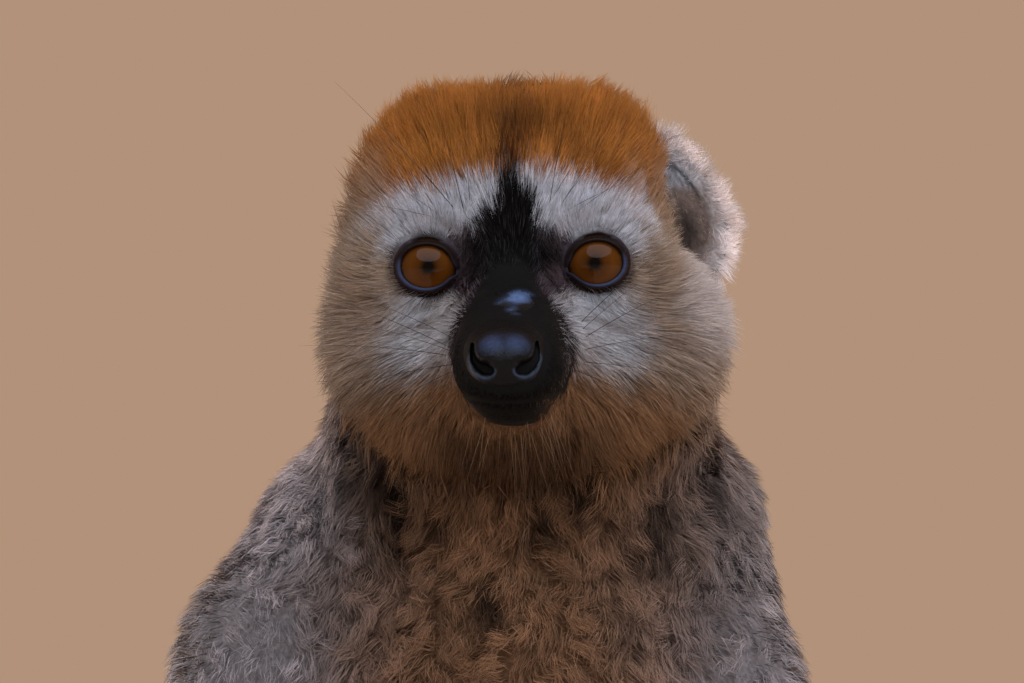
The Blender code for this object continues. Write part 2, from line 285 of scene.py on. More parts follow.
# Round the face the skin is finer: distances from the face's middle are stretched before the last remesh.
FACE_MIDDLE = from_head((0, -16, -8))
BODY_VOXEL = 1.95
STRETCH = 2.1  # how much finer the face is
SKIN_TRIANGLES = 165_000
THICK_COATED = ("trunk", "neck", "thigh", "tail", "upper_arm", "forearm", "shank")  # coarser under their coat
RADII = np.arange(0, 700.0) * MM
STRETCHED = np.concatenate(([0], np.cumsum(1 + STRETCH * fade(RADII[1:] / MM, 24, 78)))) * MM


def stretch_round_face(points, back=False):
    """Points moved away from the face's middle, or back."""
    away = points - FACE_MIDDLE
    distance = np.linalg.norm(away, axis=1, keepdims=True)
    new = np.interp(distance, STRETCHED, RADII) if back else np.interp(distance, RADII, STRETCHED)
    return FACE_MIDDLE + away * new / np.maximum(distance, 1e-9)


def nearest_part(points, tree, owners):
    """The index in FLESH of the part that each point is nearest to."""
    return owners[[tree.find_nearest(p)[2] for p in points.tolist()]]


def make_skin_shape():
    """The flesh's fused and rounded outline, fine round the face, and the part nearest to each vertex."""
    obj, tree, owners = fused_body()
    points = points_of(obj.data)
    region = nearest_part(points, tree, owners)
    small = np.array([name.startswith(("hand", "foot")) for name in FLESH])[region]
    head = region == FLESH.index("head")
    share = np.where(small, 0.12, np.where(head, 0.3, 0.5))
    average = averaging(obj.data)
    share = average(average(average(share)))
    move_points(obj.data, stretch_round_face(relax(points, average, 50, share)))
    remesh_voxels(obj, BODY_VOXEL)
    points = stretch_round_face(points_of(obj.data), back=True)
    points = relax(points, averaging(obj.data), 3, 0.4)
    move_points(obj.data, points)
    region = nearest_part(points, tree, owners)
    thick = np.flatnonzero(np.array([family(name) in THICK_COATED for name in FLESH])[region])
    obj.vertex_groups.new(name="thick").add(thick.tolist(), 1.0, "REPLACE")
    decimate = obj.modifiers.new("Decimate", "DECIMATE")
    decimate.vertex_group = "thick"
    decimate.vertex_group_factor = 4.0
    decimate.use_collapse_triangulate = True
    decimate.ratio = SKIN_TRIANGLES / (2 * len(obj.data.polygons))
    apply_modifiers(obj)
    return obj, nearest_part(points_of(obj.data), tree, owners)


# ---------------------------------------------------------------- the coat, place by place

# For each part: the tufts' length and width, and the angle at which they leave the skin.
COAT = {
    "neck": (9.5, 0.18, 46),
    "trunk": (13.0, 0.36, 38),
    "upper_arm": (12.0, 0.34, 34),
    "forearm": (9.5, 0.36, 26),
    "hand": (4.0, 0.28, 18),
    "thigh": (14.0, 0.46, 34),
    "shank": (10.5, 0.40, 26),
    "foot": (4.5, 0.30, 18),
    "tail": (18.0, 0.48, 30),
}
WOOL = (7.6, 0.15, 58)
BEND = 0.35  # a tuft's outer half leaves the skin at this share of its angle
FULLEST = 0.78  # how far out the tips reach, as a share of what the tufts' length and angle give


def family(name):
    """The name of a part without its side or number."""
    return name.rsplit("_", 1)[0] if name.endswith(SIDES + tuple("123456789")) else name


PARTING = 2.7  # where the crown's hair parts, outward to the left
MUZZLE_ASIDE = -0.5  # the middle of the muzzle's black, outward to the left


def round_eye(h):
    """How far outside the nearer eye's opening a point is, as a radius: the lids' edge is at about 5.4."""
    return np.hypot(np.abs(h[:, 0]) - EYE_SPREAD, h[:, 2] * 1.18) + 2 * np.maximum(h[:, 1] - 5, 0)


def chin_width(z):
    """Half the width of the black chin and lower lip, at a height above the eyes."""
    return np.interp(z, (-34, -31.5, -29, -27, -25), (3.0, 5.6, 7.0, 8.4, 19))


def muzzle_width(z):
    """Half the width of the black on the muzzle, at a height above the eyes."""
    return np.interp(z, (-30, -20, -15, -10, -6, -4), (12.6, 13.4, 12.6, 10.4, 7.8, 5.8))


def muzzle_share(h):
    """1 on the short-haired muzzle, 0 on the face behind it."""
    side, z = np.abs(h[:, 0] - MUZZLE_ASIDE), h[:, 2]
    return smooth(-h[:, 1], 9, 13) * fade(side - muzzle_width(z), -1.5, 1) * fade(side - chin_width(z), 0, 3)


def coat_depth(length, angle):
    """How far the tips of such tufts stand over the skin."""
    angle = np.radians(angle)
    return np.maximum(length * FULLEST / 2 * (np.sin(angle) + np.sin(BEND * angle)) - ROOT_DEPTH, 0.2)


def standing_out(h):
    """How much the head's fur stands out further than the skin's depth allows for."""
    x, y, z = h.T
    cheek = smooth(x, 22, 33) * smooth(4 - z, 0, 10) * fade(-z, 28, 38)
    far = smooth(-x, 24, 33) * smooth(z, -30, -22) * fade(z, 22, 30) * fade(y, 12, 18)
    return 1.2 * cheek * (1 + 1.2 * peak(z, -11, 6)) + 2.0 * far


def head_coat(h):
    """Depth, length, width and angle of the coat on the head."""
    x, y, z = np.abs(h[:, 0]), h[:, 1], h[:, 2]
    crown = smooth(z, 15, 26)
    ruff = smooth(-z, 14, 30) * smooth(y, -12, 4)
    back = smooth(y, 2, 20)
    temple = smooth(z, -4, 5) * fade(z, 16, 25) * smooth(x, 20, 27)
    brow = smooth(z, 1, 6) * fade(z, 13, 19) * fade(x, 26, 32) * fade(y, 2, 10)
    by_ear = smooth(h[:, 0], 22, 31) * smooth(z, -3, 4) * fade(z, 14, 24) * smooth(y, -8, 4)
    lashes = fade(round_eye(h), 7, 12)  # the hair round the lids stands up and hides their edge
    furry = 1 - muzzle_share(h)
    bridge = fade(x, 7, 12) * smooth(6 - z, 0, 8) * fade(y, -6, 4)
    face = smooth(round_eye(h), 5.6, 11) * furry * (1 - 0.75 * bridge)
    parted = peak(h[:, 0], PARTING, 3.5) * crown
    longer = 3.1 + 4.0 * back + 2.3 * crown - 3.6 * parted - 2.2 * brow + 5.0 * ruff + 2.0 * temple
    steeper = 8 + 10 * back + 24 * crown + 6 * ruff + 10 * temple
    length = 2.0 + 1.6 * furry + face * longer
    angle = 13 + 7 * furry + 16 * lashes * furry + face * steeper
    depth = coat_depth(length, angle) + 3.0 * by_ear
    width = 0.09 + face * (0.04 + 0.09 * back - 0.03 * crown + 0.04 * ruff)
    full = standing_out(h)
    return np.stack((depth, length + face * 1.5 * full, width, angle + face * 6 * full), axis=1)


END_SHARE = 0.2  # of a part's vertices, counted as its lower or its upper end


def ends_of(node):
    """The middles of a node's lower and upper end."""
    points = points_of(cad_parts[node].data)
    low, high = np.quantile(points[:, 2], (END_SHARE, 1 - END_SHARE))
    return points[points[:, 2] <= low].mean(axis=0), points[points[:, 2] >= high].mean(axis=0)


def lie_of(node, points):
    """The direction in which the coat of a part lies."""
    kind = family(node)
    if kind in ("upper_arm", "forearm", "thigh", "shank"):
        low, high = ends_of(node)
        return np.tile(high - low if kind == "thigh" else low - high, (len(points), 1))
    if kind in ("hand", "foot"):
        return np.tile((0.0, -1.0, -0.25), (len(points), 1))
    if kind == "tail":
        return tail_lie(points)
    middle_y = middle("trunk").y
    back = smooth(points[:, 1], middle_y - 0.01, middle_y + 0.02)[:, None]
    outward = np.stack((points[:, 0] * 4, np.zeros(len(points)), np.zeros(len(points))), axis=1)
    return (1 - back) * (0, -0.12, -1) + back * (0, 0.45, -1) + outward


# The tail's middle line, as the CAD model lays it: back from the rump, then round to the animal's left.
TAIL_ROOT = np.array((0, 34.0, 32.0)) * MM
TAIL_LENGTH = 490.0
TAIL_STEPS = 64


def tail_line():
    """The tail's middle line, in equal steps."""
    step, point, points = TAIL_LENGTH / TAIL_STEPS * MM, TAIL_ROOT.copy(), []
    for i in range(TAIL_STEPS + 1):
        share = i / TAIL_STEPS
        points.append(point.copy())
        turn = math.radians(246) * (1 - (1 - share) ** 1.35)
        turn -= math.radians(58) * max(0.0, share - 0.62) / 0.38
        point += np.array((math.sin(turn), math.cos(turn), 0)) * step
    return np.array(points)


TAIL_LINE = tail_line()


def tail_place(points):
    """The nearest step of the tail's middle line, seen from above."""
    gaps = np.linalg.norm(points[:, None, :2] - TAIL_LINE[None, :, :2], axis=2)
    return gaps.argmin(axis=1)


def tail_lie(points):
    """Along the tail's middle line, towards its tip."""
    place = tail_place(points)
    return TAIL_LINE[np.minimum(place + 1, TAIL_STEPS)] - TAIL_LINE[np.maximum(place - 1, 0)]


def head_lie(h):
    """Away from the nose, and on the cheeks also down."""
    away = unit(h - (0, -30, -15))
    down = smooth(-h[:, 2], 2, 26)[:, None] * np.array((0, 0.25, -0.55))
    sign = np.where(h[:, :1] > 0, 1, -1)
    from_eye = unit(h - sign * np.array((EYE_SPREAD, 0, 0)))
    close = fade(round_eye(h), 6, 13)
    return (away + down + 1.6 * close[:, None] * from_eye) @ HEAD_AXES


def wool_share(points):
    """1 where the fur is woolly: neck, chest and shoulders."""
    return smooth(points[:, 2] / MM, 140, 180)


def neck_shadow(points):
    """1 in the two dark places on the neck, left and right under the ruff."""
    x, y, z = (points / MM).T
    left = 0.6 * spot(x, z, (36, 216), (7, 8), 0.4, 1.3)
    right = spot(x, z, (-27, 213), (11.5, 11), 0.5, 1.2)
    return np.maximum(left, right) * fade(y, -45, -30)


def gap_share(points):
    """1 in the gaps between the wool's clumps, where the tufts are shorter and painted shade darkens their
    colour.
    """
    spots = points / MM
    x, y, z = spots.T
    front = fade(y, -70, -35)
    shadow = neck_shadow(points)
    # painted shade: more dark gaps under the ruff and in the neck's shadow
    under_ruff = front * smooth(z, 192, 210) * fade(np.abs(x), 26, 36) + shadow
    field = wobble(spots * (1, 1, 0.8), 6, 1) + 0.5 * wobble(spots, 3, 2) + 0.3 * shadow
    level = 0.95 - 0.75 * np.clip(under_ruff, 0, 1)
    return smooth(field, level, level + 0.5) * wool_share(points) * (0.3 + 0.7 * np.maximum(front, shadow))


# ---------------------------------------------------------------- colours

RUFOUS = srgb(166, 104, 45)
RUFOUS_DARK = srgb(84, 42, 15)
BLACK = srgb(8, 7, 7)
BROW = srgb(190, 190, 200)
CHEEK_PALE = srgb(178, 176, 182)
CHEEK_GOLD = srgb(156, 134, 118)
TEMPLE = srgb(152, 130, 112)
RUFF = srgb(130, 94, 66)
RUFF_DARK = srgb(52, 33, 19)
# painted shade in the ear's hollow
EAR_HOLLOW_SHADE = srgb(14, 10, 10)
EAR_INSIDE = srgb(170, 170, 180)
EAR_BROWN = srgb(118, 101, 94)
EAR_GREY = srgb(156, 158, 172)
EAR_WHITE = srgb(214, 203, 204)
LID_ZONE = srgb(76, 62, 70)
MUZZLE = srgb(8, 7, 8)
MUZZLE_EDGE = srgb(60, 44, 44)
CHIN = srgb(7, 3, 2)
# painted highlight: a bluish reflection on the bare bump of the nose's bridge
BRIDGE_HIGHLIGHT = srgb(70, 88, 124)
FLANK = srgb(151, 143, 145)
CHEST = srgb(134, 97, 71)
CHEST_SHADE = srgb(46, 34, 26)
SHOULDER = srgb(150, 142, 146)
BACK = srgb(146, 128, 114)
LIMB = srgb(142, 134, 132)
HAND = srgb(84, 76, 72)
TAIL = srgb(92, 80, 72)


def wedge_width(z):
    """Half the width of the black wedge on the forehead, at a height above the eyes."""
    return np.interp(z, (-9, -4, 0, 4, 8, 12, 15.5, 19, 23), (6.0, 5.2, 6.0, 7.2, 7.8, 6.8, 4.4, 1.4, 0.0))


def face_colour(h):
    """The greys and browns of cheeks, temples, ruff and brows, with painted shadow under the chin and painted
    light on the left side.
    """
    x, y, z = h.T
    side = np.abs(x)
    pale = spot(side, z, (17, -16), (12.5, 12.5), 0.6, 1.25) * fade(y, 4, 12)
    streaks = smooth(wobble(h * (1.4, 1, 0.6), 3.4, 3), 0.1, 1.1)
    dark = spot(side, z, (25, -25), (12, 9), 0.5, 1.2) * streaks
    # painted shadow under the chin
    shadow = fade(side, 10, 24) * smooth(-z, 31, 38)
    brow = smooth(z, 0.5, 4.5) * fade(side, 25, 32) * fade(y, 4, 14)
    return layered(
        np.tile(CHEEK_GOLD, (len(h), 1)),
        # painted light: temple, ruff and brow are lighter on the left side
        (TEMPLE * (1 + 0.12 * smooth(x, 10, 22))[:, None], smooth(z, -8, 6)),
        (CHEEK_PALE, pale),
        (RUFF * (1 + 0.15 * smooth(x, 14, 26))[:, None], smooth(-z - 0.35 * side, 10, 22)),
        (RUFF_DARK, dark * 0.55),
        (RUFF_DARK, shadow * 0.75),
        (BROW * (1 + 0.14 * smooth(x, 2, 12))[:, None], brow * 0.95),
    )


def crowned(colour, h):
    """A colour under the rufous crown, the hair before the left ear, and the nape."""
    x, y, z = h.T
    side = np.abs(x)
    crown_line = 20.0 - 0.0100 * side**2 - 6 * smooth(y, 8, 24)
    outer = smooth(side, 20, 27)
    crown = smooth(z - crown_line, -2.0 - 5 * outer, 2.6 + 6 * outer)
    parting = fade(np.abs(x - PARTING * smooth(z, 22, 30)), 0.5, 5) * fade(z, 28, 38) * 0.9
    rufous = layered(
        RUFOUS[None],
        (RUFOUS_DARK[None], parting + 0.25 * wobble(h, 9, 4)),
        (TEMPLE[None], 0.85 * smooth(side, 22, 30) * fade(z, 20, 30)),
    )
    under_eye = spot(x, z, (-16, -8.5), (5, 3.5), 0.4, 1.3) * (y < 0)
    by_ear = smooth(x, 31, 37) * smooth(y, 0, 10) * smooth(-z, -8, 0) * fade(-z, 14, 24)
    return layered(
        colour,
        (rufous, crown),
        (TEMPLE * 0.7, 0.6 * under_eye),
        (EAR_WHITE, 0.6 * by_ear),
        (BACK, smooth(y, 24, 40) * 0.8),
    )


def masked(colour, h):
    """A colour under the forehead's black wedge, the dark skin round the eyes, and the muzzle's black."""
    x, y, z = h.T
    side = np.abs(x)
    wedge = fade(side - wedge_width(z), -1.0, 1.6) * smooth(z, -12, -9) * fade(y, 6, 12) * (z > -13)
    dark_skin = spot(side, z, (8.0, 0.5), (5.8, 9.5), 0.75, 1.1) * fade(y, 0, 6)
    rim = fade(round_eye(h), 6.6, 9.6)
    side = np.abs(x - MUZZLE_ASIDE)
    off_muzzle, off_chin = side - muzzle_width(z), side - chin_width(z)
    muzzle = smooth(-y, 8.0, 11.0) * fade(off_muzzle, -0.8, 1.3) * (z < -3) * fade(off_chin, -1.0, 2.4)
    edge = np.maximum(smooth(off_muzzle, -3, 0.5), smooth(off_chin, -2, 1))
    edge = edge * smooth(z, -33, -27) * (1 - 0.7 * smooth(z, -14, -8))
    black = mix(MUZZLE[None], CHIN, smooth(-z, 23, 28))
    return layered(
        colour,
        (LID_ZONE, dark_skin * 0.95),
        (BLACK, wedge),
        (LID_ZONE * 0.45, rim * 0.85),
        (mix(black, MUZZLE_EDGE, edge * 0.9), muzzle),
    )


def head_colour(h):
    """The colours of the head, from its own frame, with a painted highlight on the bare bump of the nose's
    bridge. The markings' edges are a little uneven.
    """
    h = h + np.stack([wobble(h, 5, kind) for kind in range(3)], axis=1) * 0.9
    return mix(masked(crowned(face_colour(h), h), h), BRIDGE_HIGHLIGHT, bare_bridge(h))


def bare_bridge(h):
    """1 on the bare, shiny bump where the nose's bridge begins."""
    away = np.hypot((h[:, 0] - 1.4) / 3.2, (h[:, 2] + 7.5) / 2.0) + 0.15 * wobble(h, 2.2, 2)
    return fade(away, 0.3, 1.2) * (h[:, 1] < -5)


GROUND = {"neck": FLANK, "trunk": FLANK, "thigh": FLANK, "upper_arm": LIMB, "forearm": LIMB, "shank": LIMB}
GROUND.update(hand=HAND, foot=HAND, tail=BACK)


def body_colour(node, points):
    """The colours of any part but the head, with painted shadow under the ruff and painted light on the right
    shoulder.
    """
    kind = family(node)
    x, y, z = (points / MM).T
    ground = np.tile(GROUND[kind], (len(points), 1))
    if kind == "tail":
        share = tail_place(points) / TAIL_STEPS
        return mix(ground, TAIL, smooth(share, 0.02, 0.2)) * (1 - 0.52 * smooth(share, 0.25, 1.0)[:, None])
    if kind == "upper_arm":
        return mix(ground, SHOULDER, smooth(z, 120, 170))
    if kind == "thigh":
        return mix(ground, BACK, smooth(y, 0, 40) * 0.6)
    if kind not in ("neck", "trunk"):
        return ground
    front = fade(y, -62, -32)
    inner = fade(np.abs(x) + 6 * wobble(points / MM, 12, 2), 18, 52)
    return layered(
        ground,
        (BACK, smooth(y, -20, 30)),
        (CHEST, front * (0.25 + 0.75 * inner) * smooth(z, 50, 150)),
        # painted shadow under the ruff, and in the neck's two shadowed places
        (CHEST_SHADE, front * smooth(z, 194, 208) * fade(np.abs(x), 26, 36) * 0.08),
        # painted light: the right shoulder is lighter
        (SHOULDER * 1.8, smooth(-x, 35, 40) * smooth(z, 196, 210)),
        (CHEST_SHADE, 0.8 * neck_shadow(points)),
    )


# ---------------------------------------------------------------- the sculpted skin


def bump_at(h, centre, radius):
    """1 at a point of the head, fading to 0 at the radius. A point off the middle counts on both sides."""
    place = h if centre[0] == 0 else np.column_stack((np.abs(h[:, 0]), h[:, 1:]))
    distance = np.linalg.norm(place - centre, axis=1)
    return fade(distance / radius, 0, 1)


def mouth_height(x):
    """The height of the mouth's line above the eyes."""
    return -26.6 + 0.018 * x**2


MOUTH_INSIDE = np.array((0, -16, -23))  # the mouth's slit and the nose's groove run in towards this place
MOUND = 0.3  # the skin's height over the eyeball where they meet
CONE = (6.2, 0.27)  # from this distance off the eye's axis the skin runs outward, back by this slope


def eye_mounds(h):
    """Brings the skin forward round each eyeball, so that it meets the lids without a step."""
    out = h.copy()
    for sign in (-1, 1):
        off_axis = np.hypot(h[:, 0] - sign * EYE_SPREAD, h[:, 2])
        on_ball = np.sqrt((EYE_RADIUS + MOUND) ** 2 - np.minimum(off_axis, CONE[0]) ** 2)
        level = np.maximum(off_axis - CONE[0], 0) * CONE[1] - on_ball
        soft = 0.8 + 2.4 * smooth(off_axis, 6.5, 9)
        share = np.clip(0.5 + 0.5 * (h[:, 1] - level) / soft, 0, 1)
        met = h[:, 1] * (1 - share) + level * share - soft * share * (1 - share)
        near = fade(off_axis, 9, 15) * smooth(off_axis, 5.0, 6.0) * fade(h[:, 1], 4, 9)
        out[:, 1] += (met - h[:, 1]) * near
    return out


def sculpt_face(h):
    """Lips, the groove under the nose, whisker pads and the hollows beside the muzzle."""
    h = eye_mounds(h)
    out = h.copy()
    sign = np.sign(h[:, 0])
    pads = bump_at(h, (7.5, -27, -21), 8.5)
    out[:, 0] += sign * pads * 0.9
    out[:, 1] -= pads * 0.5
    bridge = bump_at(h, (2.2, -18, -7.5), 5.0)
    out += bridge[:, None] * (0, -0.3, 0.5)
    brow = bump_at(h, (15.5, -3, 9.5), 8.0)
    out[:, 1] -= brow * 1.2
    reach = smooth(-h[:, 1], 14, 19) * fade(np.abs(h[:, 0]), 5, 10)
    over_mouth = h[:, 2] - mouth_height(h[:, 0])
    slit = peak(over_mouth, 0, 0.5) * reach
    lip = peak(over_mouth, 1.6, 1.2) * reach
    groove = peak(h[:, 0], 0, 0.6) * smooth(-h[:, 1], 30, 34) * smooth(-h[:, 2], 20, 23)
    groove = groove * (h[:, 2] > mouth_height(0) - 0.3)
    return out + unit(MOUTH_INSIDE - h) * (0.4 * slit - 0.05 * lip + 0.3 * groove)[:, None]


NOSE_ASIDE = -0.9  # the nose's middle, outward to the left
NOSE_FRAME = (8.4, 7.0, -17.6)  # the pad's half width and half height, and its height above the eyes


def nose_reach(x, z):
    """0 in the nose pad's middle, 1 at its edge."""
    return np.hypot((x - NOSE_ASIDE) / NOSE_FRAME[0], (z - NOSE_FRAME[2]) / NOSE_FRAME[1])


# Each digit: where it leaves the palm or sole (outward, back), its turn inward in degrees, and its length.
DIGITS = {
    "hand": [
        ((-9, 4), 38, 22), ((-7, -14), 12, 31), ((-2, -17), 3, 36), ((4, -16), -7, 37), ((9, -12), -18, 30),
    ],
    "foot": [
        ((-10, 6), 42, 34), ((-7, -22), 12, 27), ((-2, -26), 4, 33), ((4, -26), -5, 36), ((9, -22), -14, 31),
    ],
}
DIGIT_ROUND = 1.2  # a digit's end, past the middle of its rounding
PALM = {"hand": (20.6, 51.8), "foot": (19.3, 60.8)}  # inward and back from the node's outer front corner


def digit_ends():
    """The ends of all fingers and toes, seen from above, and the directions that they point in."""
    ends, ahead = [], []
    for side in SIDES:
        sign = 1 if side == "left" else -1
        for part, rows in DIGITS.items():
            low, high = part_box(f"{part}_{side}")
            outer = max(sign * low[0], sign * high[0]) / MM
            palm = np.array((outer - PALM[part][0], low[1] / MM + PALM[part][1]))
            for place, angle, length in rows:
                direction = np.array((-math.sin(math.radians(angle)), -math.cos(math.radians(angle))))
                end = palm + place + direction * (length - DIGIT_ROUND)
                ends.append(end * (sign, 1) * MM)
                ahead.append(direction * (sign, 1))
    return np.array(ends), np.array(ahead)


DIGIT_ENDS, DIGIT_AHEAD = digit_ends()
DIGIT_ZONE = 36  # the digits take this much of a hand or foot


def digit_share(points):
    """1 on the bare tips of fingers and toes."""
    off = np.linalg.norm(points[:, None, :2] - DIGIT_ENDS[None], axis=2).min(axis=1) / MM
    return fade(off, 3.4, 5.2) * (points[:, 2] < 12 * MM)


def dress(points, region):
    """Coat, lie and colour for points of the flesh, by the part each belongs to."""
    coat, lie, colour = np.empty((len(points), 4)), np.empty((len(points), 3)), np.empty((len(points), 3))
    for index, name in enumerate(FLESH):
        own = region == index
        if not own.any():
            continue
        if name == "head":
            h = to_head(points[own])
            coat[own], lie[own], colour[own] = head_coat(h), head_lie(h), head_colour(h)
        else:
            length, width, angle = COAT[family(name)]
            coat[own] = (coat_depth(length, angle), length, width, angle)
            if family(name) in PALM:
                ahead = (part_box(name)[0][1] + DIGIT_ZONE * MM - points[own][:, 1]) / MM
                coat[own, 1:] *= 1 - smooth(ahead, -4, 6)[:, None] * (0.35, 0.3, 0.3)
            if group_of(name) in ("trunk", "arms"):
                wool = wool_share(points[own])[:, None]
                coat[own, 1:] += wool * (np.array(WOOL) - coat[own, 1:])
            lie[own] = unit(lie_of(name, points[own]))
            colour[own] = body_colour(name, points[own])
    return coat, lie, colour


def depth_trim(points):
    """Extra depth of the skin that sets the coat's outline right: one shoulder in, two places out."""
    x, _, z = (points / MM).T
    shoulder = smooth(x, 34, 46) * smooth(z, 176, 190) * fade(z, 206, 220)
    neck = smooth(x, 32, 40) * smooth(z, 208, 222) * fade(z, 226, 235)
    elbow = smooth(-x, 40, 55) * smooth(z, 150, 165) * fade(z, 186, 200)
    return 2.8 * shoulder - 3.0 * elbow - 1.8 * neck


def sunk(points, normals, coat, average):
    """The flesh's points, brought in by the depth of the coat, smoothed, and sculpted on the face."""
    points = points - normals * (coat[:, :1] + GROW + depth_trim(points)[:, None]) * MM
    points = relax(points, average, 4, np.where(coat[:, 0] > 3, 0.5, 0.1))
    h = to_head(points)
    place = np.column_stack((np.abs(h[:, 0]), h[:, 1:]))
    crease = fade(np.linalg.norm(place - (7, -10, -4), axis=1), 4, 12)  # beside the nose's bridge
    h = to_head(relax(points, average, 60, 0.5 * crease))
    points = from_head(h)
    face = (h[:, 1] < 12) & (np.abs(h[:, 0]) < 40) & (h[:, 2] > -45)
    points[face] = from_head(sculpt_face(h[face]))
    return points


def fur_share(points, h):
    """How close the tufts stand: not at all in the eyes' openings, under the nose and on the digits' ends."""
    in_opening = (np.hypot(np.abs(h[:, 0]) - EYE_SPREAD, h[:, 2]) < 6.6) & (h[:, 1] < 3)
    under_nose = (nose_reach(h[:, 0], h[:, 2]) < 0.97) & (h[:, 1] < -25)
    fur = np.where(in_opening | under_nose, 0.0, 1 - 0.9 * smooth(bare_bridge(h), 0.3, 0.8))
    low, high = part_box("ear_right")
    ear = (np.array(low) + high) / 2
    off_ear = np.hypot(points[:, 1] - ear[1], points[:, 2] - ear[2]) / (high[2] - low[2])
    fur = fur * np.where(h[:, 0] < -20, smooth(off_ear, 0.26, 0.40), 1)
    return fur * (1 - digit_share(points))


def make_skin():
    """The skin's sheet: its points and triangles, with what the coat needs to know at each point."""
    obj, region = make_skin_shape()
    points, normals, average = points_of(obj.data), normals_of(obj.data), averaging(obj.data)
    coat, lie, colour = dress(points, region)
    small = np.array([family(name) in PALM for name in FLESH])[region]
    coat = relax(coat, average, 14, np.where(small, 0.3, 0.5))
    lie = relax(lie, average, 14)
    colour = relax(colour, average, 14)
    points = sunk(points, normals, coat, average)
    faces = triangles_of(obj.data)
    bpy.data.objects.remove(obj)
    h = to_head(points)
    head = (region == FLESH.index("head"))[:, None]
    # painted shade in the gaps between the wool's clumps
    colour = np.where(head, head_colour(h), colour * (1 - PAINTED_GAP_SHADE * gap_share(points))[:, None])
    group = np.array([GROUPS.index(group_of(name)) for name in FLESH])[region]
    return {"points": points, "faces": faces, "coat": coat, "lie": lie, "colour": colour,
            "group": group, "fur": fur_share(points, h)}


# The coat's groups: each becomes pieces of its own.
GROUPS = ["head", "ears", "trunk", "arms", "legs", "tail"]
PAINTED_GAP_SHADE = 0.72  # painted shade: how much a gap between clumps darkens the colour


def group_of(name):
    """The group of the coat that a part belongs to."""
    kind = family(name)
    if kind == "head":
        return "head"
    if kind in ("upper_arm", "forearm", "hand"):
        return "arms"
    if kind in ("thigh", "shank", "foot"):
        return "legs"
    return "tail" if kind == "tail" else "trunk"


def grid_faces(rows, columns):
    """Triangles between the points of rows, each of which is a ring."""
    r, c = np.meshgrid(np.arange(rows - 1), np.arange(columns), indexing="ij")
    a, b = r * columns + c, r * columns + (c + 1) % columns
    return np.stack((a, b, b + columns, a, b + columns, a + columns), axis=-1).reshape(-1, 3)


# Eyelids: the opening's half width and half height, and the lids' rows from its edge outward. For each row:
# its spread as a share of the opening, and its distance from the eye's middle as a share of the eyeball's.
OPENING = (5.3, 4.35)
LID_STEPS = 84
LID_PROFILE = [
    (0.90, 0.90), (0.955, 1.0), (0.98, 1.02), (1.0, 1.05), (1.04, 1.07), (1.09, 1.08), (1.16, 1.08),
    (1.24, 1.07), (1.32, 1.06), (1.40, 1.05), (1.50, 1.03), (1.62, 1.0),
]
LID_DARK = srgb(22, 13, 12)
# painted reflection of light on the moist lower lid
LID_REFLECTION = srgb(44, 51, 74)
LID_BROWN = srgb(34, 21, 22)


LAID = (1.12, 1.5)  # between these spreads a lid passes from the eyeball to the face
IN_FRONT = -40  # before the face


def lid_colour(h, gap, up, outer):
    """The lids' dark lines, a painted reflection on the moist lower lid, and painted shade on the outer rows
    under the fur, by the distance from the edge; up and outer are 1 on those sides.
    """
    lower = layered(
        LID_DARK[None],
        (LID_REFLECTION, 0.25 + 0.75 * outer),
        (LID_BROWN, smooth(gap, 0.35, 0.6)),
        (LID_DARK, fade(gap, -0.25, -0.05)),
    )
    upper = mix(np.tile(LID_DARK, (len(h), 1)), LID_ZONE * 0.33, smooth(gap, 1.0, 1.4))
    # painted shade: the outer rows, under the fur, take the head's colour at half its brightness
    return layered(lower, (upper, up), (head_colour(h) * 0.5, smooth(gap, 2.2, 3.2)))


def lid_opening(angle):
    """The edge of the opening, seen from in front: outward from the nose, and up."""
    x, z = OPENING[0] * np.cos(angle), OPENING[1] * np.sin(angle)
    corner = peak(angle, math.pi * 1.06, 0.24)  # the inner corner, drawn out and down
    return x - 1.2 * corner, z - 0.5 * corner


def lay_on_face(rows, spreads, skin_tree):
    """Moves the outer rows of a lid back onto the skin of the face."""
    for row, share in zip(rows, smooth(spreads, *LAID)):
        for point in row if share > 0 else ():
            hit = skin_tree.ray_cast(Vector(from_head((point[0], IN_FRONT, point[2]))), HEAD_Y)[0]
            if hit:
                face_y = to_head(np.array(hit))[1]
                level = max(face_y, point[1] - 2) if share < 1 else face_y + 0.25
                point[1] = mix(point[1], level, share)


def make_lids(side, skin_tree):
    """A ring of skin round the opening, from the eyeball's surface out to the face."""
    sign = 1 if side == "left" else -1
    angle = np.linspace(0, 2 * math.pi, LID_STEPS, endpoint=False)
    x0, z0 = lid_opening(angle)
    rows = []
    for spread, lift in LID_PROFILE:
        x, z = x0 * spread, z0 * spread
        bulge = smooth(np.sin(angle), 0.0, 0.8) * peak(spread, 1.12, 0.13)  # of the upper lid
        radius = EYE_RADIUS * lift + 0.5 * bulge
        y = -np.sqrt(np.maximum(radius**2 - x**2 - z**2, 1.0))
        rows.append(np.stack((sign * (EYE_SPREAD + x), y, z), axis=1))
    rows = np.array(rows)
    spreads = np.array([spread for spread, _ in LID_PROFILE])
    lay_on_face(rows, spreads, skin_tree)
    points = rows.reshape(-1, 3)
    gap = (np.repeat(spreads, LID_STEPS) - 1) * np.tile(np.hypot(x0, z0), len(rows))
    up = np.tile(smooth(np.sin(angle), 0.1, 0.5), len(rows))
    outer = np.tile(smooth(np.cos(angle), -0.7, 0.1), len(rows))
    return {
        "points": from_head(points),
        "faces": sided_faces(side, len(rows), LID_STEPS),
        "coat": head_coat(points),
        "lie": unit(head_lie(points)),
        "colour": lid_colour(points, gap, up, outer),
        "group": np.full(len(points), GROUPS.index("head")),
        "fur": smooth(gap, 0.9 + 0.6 * up, 1.4 + 0.7 * up),
    }


